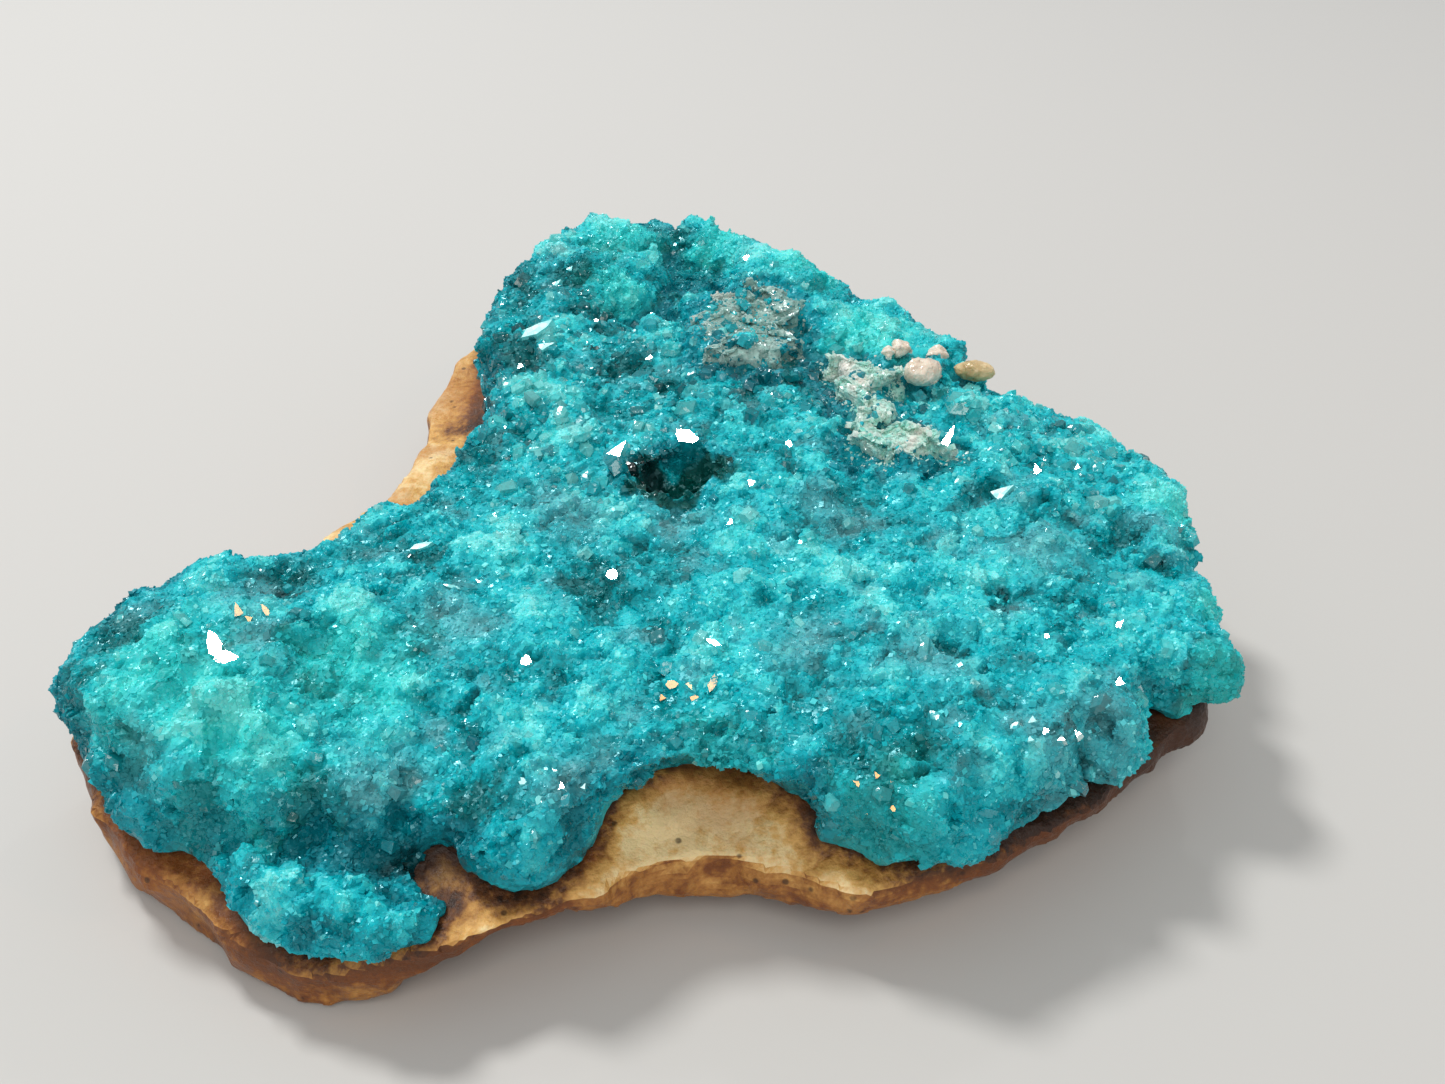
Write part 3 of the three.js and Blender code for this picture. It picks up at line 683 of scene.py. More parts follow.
def shrink_crust(mesh):
    """Draws the crust's outer faces in, and sinks the faces over the rock a little way into it."""
    place, facing = coords(mesh), normals(mesh)
    hidden = hidden_over_rock(mesh)
    upward = np.clip(facing[:, 2], 0, 1)
    inward = TOP_SHRINK * upward + SIDE_SHRINK
    inward = inward * (1 - hidden) * (1 - 0.8 * in_vug(place))
    for x, y, radius, depth in NOTCHES:
        inward += depth * MM * patch_felt(place[:, 0], place[:, 1], x, y, radius) * (1 - upward)
    moved = place - facing * inward[:, None]
    moved[:, 2] -= CONTACT_DROP * hidden
    top = np.clip(facing[:, 2] * 2, 0, 1) * (1 - hidden)
    along, across = ragged(place)
    for _, x, y, radius, lift in PATCHES:
        if lift:
            moved[:, 2] += lift * MM * patch_felt(along, across, x, y, radius) * top
    set_coords(mesh, moved)

# %% The crust's body
def add_mesh(obj, mesh):
    """Adds another mesh's faces to an object's mesh."""
    with opened(obj.data) as shell:
        shell.from_mesh(mesh)


def add_pebbles(piece, pebbles):
    """Adds rounded pebbles, each given by plan place, height of its middle and radius, in mm."""
    with opened(piece.data) as shell:
        for x, y, height, radius in pebbles:
            made = bmesh.ops.create_icosphere(shell, subdivisions=3, radius=radius * MM)["verts"]
            for point in made:
                way = point.co.normalized()
                wave = 0.12 * math.sin(5 * way.x + 3 * x)
                point.co *= 1 + wave + 0.10 * math.sin(6 * way.y + 4 * way.z + y)
                point.co.z *= 0.8
                point.co += spot(x, y, height)


BEAD = (9.7, 3.7, 7.2, 0.6)  # a rounded bead of the crust at its rim: plan place, height and radius in mm
UPRIGHT = 0.88  # blocks stand only where the surface's normal points up more than this
body = merged_copy("dioptase_crust", "crust_body")
for node in ("grey_quartz_patch", "pale_vein"):
    add_mesh(body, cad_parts[node].data)
body.data.materials.clear()
remesh(body, BODY_VOXEL * 1.5)
shrink_crust(body.data)
add_pebbles(body, [BEAD])
steep = np.clip(4 * (UPRIGHT - normals(body.data)[:, 2]), 0, 1)
bare = np.maximum(steep, np.clip(3 * in_vug(coords(body.data)), 0, 1))
write_attribute(body.data, "bare", bare)
blocks = scatter_on(body, prism, SEED, distance=1.2, density=1.2e6, sizes=(0.5, 1.15), tilt=1.1,
                    sink=(0.5, 0.0), patch=(4, 0.3, 0.5))
knobs = scatter_on(body, prism, SEED + 1, distance=0.7, density=3e6, sizes=(0.28, 0.6), tilt=1.3,
                   sink=(0.18, 0.0), patch=(3, 0.35, 0.6))
print("blocks:", len(blocks.vertices) // PRISM_POINTS, "knobs:", len(knobs.vertices) // PRISM_POINTS)
add_mesh(body, blocks)
add_mesh(body, knobs)
remesh(body, BODY_VOXEL)
smooth(body, 0.35, 1)
print("crust body faces:", len(body.data.polygons))

# %% The relief of an aggregate
def move_surface(t, given, out, rise, offset):
    """The end of a relief tree: stores how far the surface rises, then moves it."""
    kept = t.node("GeometryNodeStoreNamedAttribute", {
        "Geometry": given["Geometry"], "Name": "rise", "Value": rise,
    }, data_type="FLOAT", domain="POINT")
    moved = t.node("GeometryNodeSetPosition", {"Geometry": kept.outputs[0], "Offset": offset})
    t.plug(out[0], moved.outputs[0])
    return t


def relief_tree():
    """Moves a surface by rounded lumps, by chunks with slanting flat tops and by fine noise."""
    numbers = {"Lump Size": 0.003, "Lump Height": 0.0003, "Chunk Size": 0.001, "Chunk Height": 0.0001,
               "Grain Size": 0.0003, "Grain Height": 0.00003}
    t, given, out = geometry_tree("aggregate relief", numbers)
    place = t.node("GeometryNodeInputPosition").outputs[0]
    bent = t.warped(place, 2.2 * MM, 1.2 * MM)
    lump = t.node("ShaderNodeTexVoronoi", {
        "Vector": t.in_units(bent, given["Lump Size"]), "Scale": 1.0, "Smoothness": 0.3,
    }, feature="SMOOTH_F1")
    lumps = t.times(t.minus(0.42, lump.outputs["Distance"]), given["Lump Height"])
    top, slant = t.facets(t.in_units(bent, given["Chunk Size"]), 1.0)
    level = t.minus(t.axis(slant, 0), 0.1)
    chunks = t.times(t.plus(t.times(top, 1.6), level), given["Chunk Height"])
    fine = t.noise(t.in_units(place, given["Grain Size"]), 1.0)
    grain = t.times(t.centred(fine), given["Grain Height"])
    lumps = t.times(lumps, t.minus(1.0, t.times(stored(t, "calm"), 0.4)))
    move = t.plus(t.plus(lumps, chunks), grain)
    move = t.times(move, t.rest(t.times(stored(t, "bare"), 0.6)))
    rise = t.math("DIVIDE", t.plus(lumps, chunks), MM)
    facing = t.node("GeometryNodeInputNormal").outputs[0]
    return move_surface(t, given, out, rise, t.scaled(facing, move))

# %% A ceiling for the crust
CEILING = cad_high[2] + 0.1 * MM  # just over the solid model
CEILING_START = CEILING - 0.6 * MM  # heights above this are pressed down


def under_ceiling(heights):
    """Presses heights softly down so that none passes the ceiling."""
    room = CEILING - CEILING_START
    above = np.maximum(heights - CEILING_START, 0)
    return np.where(above > 0, CEILING_START + room * (1 - np.exp(-above / room)), heights)


def press_down(mesh):
    """Keeps a whole mesh under the ceiling."""
    moved = coords(mesh)
    moved[:, 2] = under_ceiling(moved[:, 2])
    set_coords(mesh, moved)


relief = relief_tree()
write_attribute(body.data, "bare", hidden_over_rock(body.data))
write_attribute(body.data, "calm", calmness(coords(body.data)))
replace_mesh(body, run_tree(body, relief, {
    "Lump Size": 2.3 * MM, "Lump Height": 0.75 * MM, "Chunk Size": 0.85 * MM, "Chunk Height": 0.24 * MM,
    "Grain Size": 0.35 * MM, "Grain Height": 0.06 * MM,
}))
press_down(body.data)

# %% [markdown]
# ## Quartz in the crust
# A cloudy grey patch and a pale greenish vein interrupt the crust, with a cream and a tan grain beside
# them. Each starts from a copy of its solid, sinks level with the crust around it and gets a grainy relief.
# Later, grains of the same quartz are strewn over it and a little way past its rim, so that it has the
# ragged edge of something that grew together with its neighbours.

# %% The quartz masses
RAGGED_FROM = 0.2 * MM  # pieces with a higher relief than this also get a ragged rim


def quartz_mass(node, name, voxel, sink, lump, height):
    """The main body of one quartz patch or grain."""
    piece = remesh(merged_copy(node, name), voxel)
    place = coords(piece.data)
    place[:, 2] = np.maximum(place[:, 2] - sink, place[:, 2].min())
    if height > RAGGED_FROM:
        place[:, 0], place[:, 1] = ragged(place)
    piece.data.vertices.foreach_set("co", place.ravel())
    write_attribute(piece.data, "bare", np.zeros(len(place)))
    replace_mesh(piece, run_tree(piece, relief, {
        "Lump Size": lump, "Lump Height": height, "Chunk Size": lump * 0.4, "Chunk Height": height * 0.25,
        "Grain Size": 0.25 * MM, "Grain Height": 0.06 * MM,
    }))
    return piece


grey_quartz = quartz_mass("grey_quartz_patch", "grey_quartz", voxel=0.11 * MM, sink=0.32 * MM,
                          lump=2.3 * MM, height=0.5 * MM)
pale_quartz = quartz_mass("pale_vein", "pale_quartz", voxel=0.11 * MM, sink=0.20 * MM,
                          lump=1.6 * MM, height=0.5 * MM)
cream_mineral = quartz_mass("cream_grain", "cream_mineral", voxel=0.08 * MM, sink=0.05 * MM,
                            lump=0.9 * MM, height=0.14 * MM)
tan_mineral = quartz_mass("tan_grain", "tan_mineral", voxel=0.08 * MM, sink=0.05 * MM,
                          lump=0.8 * MM, height=0.12 * MM)
add_pebbles(cream_mineral, [(7.3, 2.9, 7.75, 0.42), (6.8, 2.6, 7.75, 0.28), (8.9, 3.0, 7.4, 0.45)])
quartz_pieces = [grey_quartz, pale_quartz, cream_mineral, tan_mineral]
for piece in quartz_pieces:
    press_down(piece.data)

# %% [markdown]
# ## Sugar, crystals and strewn quartz
# The finest crystals make the crust glitter like sugar. They're rhombs of one to three tenths of a
# millimetre, and there are tens of thousands, so each has only six faces. Clearer crystals up to a
# millimetre across stand among them where the crust is blocky. Everything is scattered over one host
# surface, which is the crust's body with the quartz masses in it.

# %% The host surface
QUARTZ_REACH = (0.4, 0.35, 0.25, 0.2)  # mm, how far past its rim each quartz piece's grains are strewn


def nearness(place, piece, reach):
    """1 on a piece, falling off with the distance from it."""
    tree = search_tree(piece.data)
    low, high = coords(piece.data).min(axis=0) - 3 * reach, coords(piece.data).max(axis=0) + 3 * reach
    felt = np.zeros(len(place))
    for i in np.nonzero(np.all((place > low) & (place < high), axis=1))[0]:
        felt[i] = math.exp(-(tree.find_nearest(Vector(place[i]))[3] / reach) ** 2)
    return felt


host = link(bpy.data.objects.new("host", body.data.copy()))
for piece in quartz_pieces:
    add_mesh(host, piece.data)
host_place = coords(host.data)
hidden = hidden_over_rock(host.data)
vug = in_vug(host_place)
near = [nearness(host_place, piece, reach * MM) for piece, reach in zip(quartz_pieces, QUARTZ_REACH)]
blocky = patch_strength("blocky", host_place)
print("host surface points:", len(host_place))

# %% Strewing over the host
def strewn(shape, seed, wanted, distance, sizes, sink, patch, tilt=1.4):
    """Scatters one kind of crystal over the host where `wanted` says; returns its points by crystal, and how
    far the crust rises under each."""
    write_attribute(host.data, "bare", 1 - np.clip(wanted, 0, 1) * (1 - hidden))
    each = len(shape.data.vertices)
    mesh = scatter_on(host, shape, seed, distance, 0.9e6 / distance ** 2, sizes, tilt, sink, patch)
    points = coords(mesh).reshape(-1, each, 3).astype(np.float64)
    rise = read_attribute(mesh, "rise").reshape(-1, each)[:, 0]
    bpy.data.meshes.remove(mesh)
    middle = points[:, :, 2].mean(axis=1)
    points[:, :, 2] += (under_ceiling(middle + 0.1 * MM) - middle - 0.1 * MM)[:, None]
    print("scattered", len(points), "of", shape.name, "on rises", np.percentile(rise, (5, 50, 95)).round(2))
    return points, rise


waves_x, waves_y = ragged(host_place)
stray = 0.5 + 0.5 * np.sin(3.1 * waves_x / MM + 1.0) * np.sin(2.7 * waves_y / MM)
grey_share = near[0] * (0.45 + 0.5 * stray)
pale_share = near[1] * (0.85 + 0.15 * stray)
quartz_share = np.clip(grey_share + pale_share + near[2] + near[3], 0, 1)
open_crust = (1 - quartz_share) * (1 - 0.9 * vug)
sugar = strewn(rhomb, SEED + 2, (1 - 0.3 * blocky) * open_crust, distance=0.105, sizes=(0.04, 0.125),
               sink=(0.0, 0.4), patch=(1.4, 0.1, 0.4))
small = strewn(prism, SEED + 3, (0.12 + 1.2 * blocky) * open_crust, distance=0.28, sizes=(0.10, 0.34),
               sink=(0.02, 0.35), patch=(2.0, 0.2, 0.45))
gems = strewn(prism, SEED + 4, blocky * open_crust, distance=0.62, sizes=(0.20, 0.46),
              sink=(0.04, 0.5), patch=(2.5, 0.25, 0.5), tilt=1.2)
grey_grains = strewn(rhomb, SEED + 5, near[0] * 0.7, distance=0.12, sizes=(0.04, 0.10),
                     sink=(0.0, 0.5), patch=(1.0, 0.2, 0.45))
pale_grains = strewn(rhomb, SEED + 6, near[1], distance=0.12, sizes=(0.05, 0.14),
                     sink=(0.0, 0.5), patch=(1.0, 0.2, 0.5))
cream_grains = strewn(rhomb, SEED + 7, near[2] * 0.3 * (1 - near[1]), distance=0.3, sizes=(0.06, 0.16),
                      sink=(0.0, 0.3), patch=(1.0, 0.3, 0.6))

# %% [markdown]
# ## Bright faces
# Some crystal faces stand just so that they mirror a lamp to the eye, and flash white. A face does that
# when it faces halfway between the lamp and the viewer. The large flashes are single crystals that are
# turned that way one by one, so the lamps' places are settled here, before the crystals.

# %% Lamps and the shape of a flash
KEY_LAMP = Vector((-0.115, 0.105, 0.235))
WARM_LAMP = Vector((0.16, -0.02, 0.20))
VIEW_PITCH = 36.0  # degrees, how far down the viewer looks
VIEW_UP = Vector((0.0, math.sin(math.radians(VIEW_PITCH)), math.cos(math.radians(VIEW_PITCH))))
body_search = search_tree(body.data)

# Outlines of end faces, within a square from -1 to 1.
LOZENGE = [(-0.9, 0.9), (0.1, 0.75), (1.0, -0.4), (0.6, -0.9), (-0.5, -0.6), (-0.8, 0.1)]
TABLET = [(-0.9, 0.5), (-0.2, 1.0), (0.55, 0.55), (1.0, -0.6), (0.2, -1.0), (-0.7, -0.7)]
BLADE = [(0.0, 1.0), (0.5, 0.55), (0.7, -0.2), (0.1, -1.0), (-0.6, -0.5), (-0.45, 0.3)]
SHARD = [(0.1, 1.0), (0.5, 0.1), (1.0, -0.7), (0.3, -0.9), (-0.9, -0.95), (-0.45, 0.1)]
FLASH_FACES = [(0, 1, 2, 3, 4, 5), (11, 10, 9, 8, 7, 6)]
FLASH_FACES += [(k, 6 + k, 6 + (k + 1) % 6, (k + 1) % 6) for k in range(6)]
FLASH_POINTS = 12


def on_crust(x, y):
    """The point of the crust's body straight under a plan place."""
    return body_search.ray_cast(spot(x, y, 20), Vector((0, 0, -1)))[0]


def flash(lamp, outline, x, y, width, height, lean, lift):
    """Points of one stout crystal whose end face mirrors a lamp to the viewer; the viewer sees it lean."""
    seat = on_crust(x, y) + Vector((0, 0, lift * MM))
    halfway = ((VIEWER - seat).normalized() + (lamp - seat).normalized()).normalized()
    tall = (VIEW_UP - halfway * VIEW_UP.dot(halfway)).normalized()
    tall = Matrix.Rotation(lean, 3, halfway) @ tall
    wide = tall.cross(halfway)
    points = []
    for grown, sunk in ((1.0, 0.0), (1.25, 0.5 * (width + height))):
        for across, along in outline:
            offset = wide * across * width / 2 + tall * along * height / 2
            points.append(seat + (offset * grown - halfway * sunk) * MM)
    return points

# %% The flashes
# Outline, plan place, width and height in mm, lean in radians (above 0 leans left), lift in mm.
WHITE_FLASHES = [
    (LOZENGE, -1.35, -3.75, 1.05, 0.75, 0.0, 0.42), (SHARD, -3.9, -4.1, 0.55, 0.85, -0.5, 0.25),
    (BLADE, 8.5, -3.4, 0.5, 1.5, -0.25, 0.3), (SHARD, 11.7, -4.9, 0.35, 0.5, 0.4, 0.15),
    (TABLET, -6.3, -15.2, 0.4, 0.5, 0.3, 0.15), (TABLET, -3.7, -11.7, 0.5, 0.4, -0.3, 0.15),
    (SHARD, 1.0, -6.6, 0.35, 0.35, 0.9, 0.1), (SHARD, 0.3, -8.8, 0.3, 0.35, 0.1, 0.1),
    (TABLET, 2.5, -3.8, 0.3, 0.35, 0.1, 0.1), (BLADE, -16.1, -15.3, 0.7, 1.3, 0.5, 0.2),
    (TABLET, -15.55, -15.95, 0.65, 0.9, 0.8, 0.2), (TABLET, 9.7, -18.5, 0.25, 0.3, 1.1, 0.1),
    (SHARD, 10.2, -18.7, 0.25, 0.25, 0.1, 0.1), (SHARD, 10.7, -18.5, 0.2, 0.25, 0.8, 0.1),
    (SHARD, 13.0, -13.6, 0.35, 0.35, -0.6, 0.1), (SHARD, 12.4, -16.4, 0.35, 0.35, 0.2, 0.1),
    (TABLET, 11.5, -17.5, 0.3, 0.25, 0.2, 0.1), (SHARD, 13.2, -5.0, 0.2, 0.25, 0.2, 0.1),
    (TABLET, 10.4, -14.6, 0.2, 0.2, 0.2, 0.1), (SHARD, -3.2, 8.0, 0.25, 0.3, 0.3, 0.1),
    (TABLET, -5.4, 5.8, 0.2, 0.25, 0.3, 0.1), (TABLET, 1.1, 10.0, 0.4, 0.35, 0.4, 0.1),
    (SHARD, -8.4, 2.9, 0.3, 0.25, 0.3, 0.1), (TABLET, -3.1, 3.3, 0.4, 0.25, 0.3, 0.1),
    (SHARD, -4.7, -20.6, 0.2, 0.25, 0.3, 0.1), (BLADE, -0.3, -14.9, 0.3, 0.6, 1.2, 0.1),
]
GOLDEN_FLASHES = [
    (SHARD, -15.7, -13.8, 0.35, 0.5, 0.2, 0.15), (BLADE, -14.8, -13.8, 0.3, 0.5, 0.5, 0.15),
    (TABLET, -1.6, -16.2, 0.45, 0.3, 0.4, 0.15), (SHARD, -1.0, -16.3, 0.5, 0.35, 1.4, 0.15),
    (BLADE, -0.3, -16.4, 0.4, 0.8, -0.5, 0.15), (TABLET, -0.8, -16.9, 0.5, 0.25, -0.1, 0.1),
    (SHARD, 4.2, -20.9, 0.3, 0.4, 0.4, 0.15), (TABLET, 5.0, -21.1, 0.25, 0.3, 1.4, 0.15),
    (SHARD, 4.5, -20.3, 0.2, 0.2, 0.4, 0.1), (SHARD, 3.9, -20.5, 0.2, 0.25, 1.0, 0.1),
    (SHARD, -1.9, -16.6, 0.25, 0.2, 0.2, 0.1), (SHARD, -15.3, -14.1, 0.25, 0.25, 0.9, 0.1),
]
# Flakes lie like the white ones, but are cloudy and not so bright; their pale colour is partly a painted
# highlight.
FLAKES = [
    (SHARD, 10.2, -6.6, 0.6, 0.85, -0.9, 0.15), (BLADE, -7.8, 4.4, 0.8, 1.5, -0.95, 0.25),
    (SHARD, -7.3, 3.4, 0.4, 0.7, -1.2, 0.15), (BLADE, -10.4, -10.0, 0.4, 0.8, -1.2, 0.1),
    (BLADE, -9.1, -11.9, 0.22, 0.7, 1.3, 0.05), (BLADE, -8.2, -11.5, 0.25, 0.5, 1.1, 0.05),
    (BLADE, -7.4, 8.7, 0.3, 0.7, -0.6, 0.1), (SHARD, -6.8, 9.6, 0.3, 0.3, -0.5, 0.1),
    (TABLET, -5.3, -21.0, 0.3, 0.35, 0.3, 0.1), (SHARD, 9.2, -18.9, 0.25, 0.2, 0.3, 0.05),
    (TABLET, 10.0, -19.2, 0.2, 0.25, 1.0, 0.05), (BLADE, 8.8, -18.4, 0.25, 0.35, -0.6, 0.05),
    (SHARD, 9.4, -18.1, 0.3, 0.25, 0.2, 0.05), (TABLET, -5.9, -20.2, 0.25, 0.3, 0.5, 0.05),
    (SHARD, -4.1, -20.3, 0.25, 0.2, -0.4, 0.05), (BLADE, -5.0, -19.8, 0.2, 0.35, 0.9, 0.05),
]
white_points = np.array([flash(KEY_LAMP, *row) for row in WHITE_FLASHES])
golden_points = np.array([flash(WARM_LAMP, *row) for row in GOLDEN_FLASHES])
flake_points = np.array([flash(KEY_LAMP, *row) for row in FLAKES])
print("flashing, golden, flakes:", len(white_points), len(golden_points), len(flake_points))

# %% [markdown]
# ## One value for each crystal
# Real crystals differ from their neighbours in clarity and colour, but each is even in itself. So every
# crystal stores where its centre is and a random tint, and the material reads those instead of the place
# of the shaded point. Each crystal also gets its own square of a texture map, for anyone who bakes it.

# %% Marks that the materials read
draw = np.random.default_rng(SEED)


def write_squares(mesh, each, count):
    """Gives each of `count` crystals its own square of the texture map."""
    across = math.ceil(math.sqrt(count))
    layer = mesh.uv_layers.new(name="OFBake")
    corner = np.empty(len(mesh.loops), np.int32)
    mesh.loops.foreach_get("vertex_index", corner)
    crystal, local = corner // each, corner % each
    angle = local * 2 * math.pi / each
    u = (crystal % across + 0.5 + 0.3 * np.cos(angle)) / across
    v = (crystal // across + 0.5 + 0.3 * np.sin(angle)) / across
    layer.data.foreach_set("uv", np.stack([u, v], 1).astype(np.float32).ravel())


SHAPE_FACES = {FLASH_POINTS: FLASH_FACES}
SHAPE_HEIGHTS = {FLASH_POINTS: [1.0] * 6 + [0.0] * 6}
for shape in (prism, rhomb):
    each = len(shape.data.vertices)
    SHAPE_FACES[each] = [tuple(p.vertices) for p in shape.data.polygons]
    SHAPE_HEIGHTS[each] = [v.co.z for v in shape.data.vertices]


def crystal_mesh(name, points, rise):
    """A mesh of equal crystals: `points` holds them as rows of points, `rise` has one number for each."""
    count, each = points.shape[:2]
    faces = SHAPE_FACES[each]
    flat = np.array([i for f in faces for i in f], np.int32)
    corners = (np.arange(count)[:, None] * each + flat[None, :]).ravel().astype(np.int32)
    lengths = np.tile(np.array([len(f) for f in faces], np.int32), count)
    mesh = bpy.data.meshes.new(name)
    mesh.vertices.add(count * each)
    mesh.vertices.foreach_set("co", points.astype(np.float32).ravel())
    mesh.loops.add(len(corners))
    mesh.loops.foreach_set("vertex_index", corners)
    mesh.polygons.add(len(lengths))
    mesh.polygons.foreach_set("loop_start", np.concatenate([[0], np.cumsum(lengths)[:-1]]).astype(np.int32))
    mesh.update(calc_edges=True)
    mesh.validate()
    seats = points.mean(axis=1)
    heights = np.array(SHAPE_HEIGHTS[each])
    write_attribute(mesh, "seat", np.repeat(seats, each, axis=0))
    write_attribute(mesh, "tint", np.repeat(draw.random(count), each))
    write_attribute(mesh, "rise", np.repeat(rise, each))
    write_attribute(mesh, "tip", np.tile((heights - heights.min()) / np.ptp(heights), count))
    write_patches(mesh, seats, each)
    mesh.shade_flat()
    return mesh


def crystal_piece(name, points, rise, material):
    """A piece made of equal crystals."""
    mesh = crystal_mesh(name, points, rise)
    write_squares(mesh, points.shape[1], len(points))
    mesh.materials.append(material)
    return link(bpy.data.objects.new(name, mesh))

# %% [markdown]
# ## What dioptase looks like
# Dioptase is a clear green-blue mineral with a glassy shine and a high refraction. In a fine crust the light
# is scattered at thousands of edges, so it looks pale turquoise where the crystals are small and dry, dark
# teal where they're thick or clear, and grey where they're cloudy; part of that grey is painted sheen.
# Neighbours differ in lumps of a millimetre or so. Shade is painted into the colour too: in hollows and
# channels, on steep sides, at the crystals' feet, in the open pocket and in gaps, with painted light on
# rises and crystal tips. Small flat facets, each tilted its own way, are added to the shading as bump.

# %% Colours and parts of the finishes
DEEP_TEAL = (0.0, 0.14, 0.15, 1)
MID_TEAL = (0.0, 0.33, 0.375, 1)
TURQUOISE = (0.003, 0.54, 0.62, 1)
PALE_TURQUOISE = (0.06, 0.74, 0.76, 1)
FROST = (0.23, 0.91, 0.90, 1)
GREY_CLOUD_AND_SHEEN = (0.22, 0.42, 0.45, 1)
LEAF_TEAL = (0.06, 0.84, 0.71, 1)
VUG_SHADE_GREEN = (0.0, 0.085, 0.072, 1)
SIDE_SHADE_BLUE = (0.0, 0.28, 0.40, 1)
GAP_SHADE_BLACK = (0.0, 0.008, 0.008, 1)
TEAL_SHINE = (0.40, 0.85, 0.95, 1)
WHITE_SHINE = (1, 1, 1, 1)


def new_material(name):
    """A node material with its Principled shader, as a tree wrapper."""
    material = bpy.data.materials.new(name)
    material.use_nodes = True
    material.node_tree.nodes.clear()
    t = Tree(material.node_tree)
    shader = t.node("ShaderNodeBsdfPrincipled")
    t.node("ShaderNodeOutputMaterial", {"Surface": shader.outputs[0]})
    return material, t, shader


def ramp(t, value, stops):
    """A colour ramp from a list of places and colours."""
    made = t.node("ShaderNodeValToRGB", {0: value})
    bar = made.color_ramp
    while len(bar.elements) < len(stops):
        bar.elements.new(0.5)
    for element, (place, colour) in zip(bar.elements, stops):
        element.position = place
        element.color = colour
    return made.outputs[0]


def mix(t, factor, a, b):
    """One colour over another."""
    return t.node("ShaderNodeMix", {0: factor, 6: a, 7: b}, data_type="RGBA").outputs[2]


def attribute(t, name, output="Fac"):
    """A value that the mesh stores."""
    return t.node("ShaderNodeAttribute", attribute_name=name).outputs[output]


def cell_value(t, vector, size):
    """One random number for each Voronoi cell."""
    return t.node("ShaderNodeSeparateColor", {0: t.cells(vector, size).outputs["Color"]}).outputs[0]


def weighted(t, start, terms):
    """A start value plus each term times its weight."""
    total = start
    for value, weight in terms:
        total = t.plus(total, t.times(value, weight))
    return total


def bump(t, height, distance, strength=1.0):
    """A direction for the shading, tilted by a height without moving the surface."""
    named = {"Height": height, "Distance": distance, "Strength": strength}
    return t.node("ShaderNodeBump", named).outputs[0]


def faceted(t, place, size):
    """Heights of small flat facets with a fine grain on them."""
    return t.plus(t.facets(place, size)[0], t.times(t.noise(place, 0.1 * MM), 0.02 * MM))

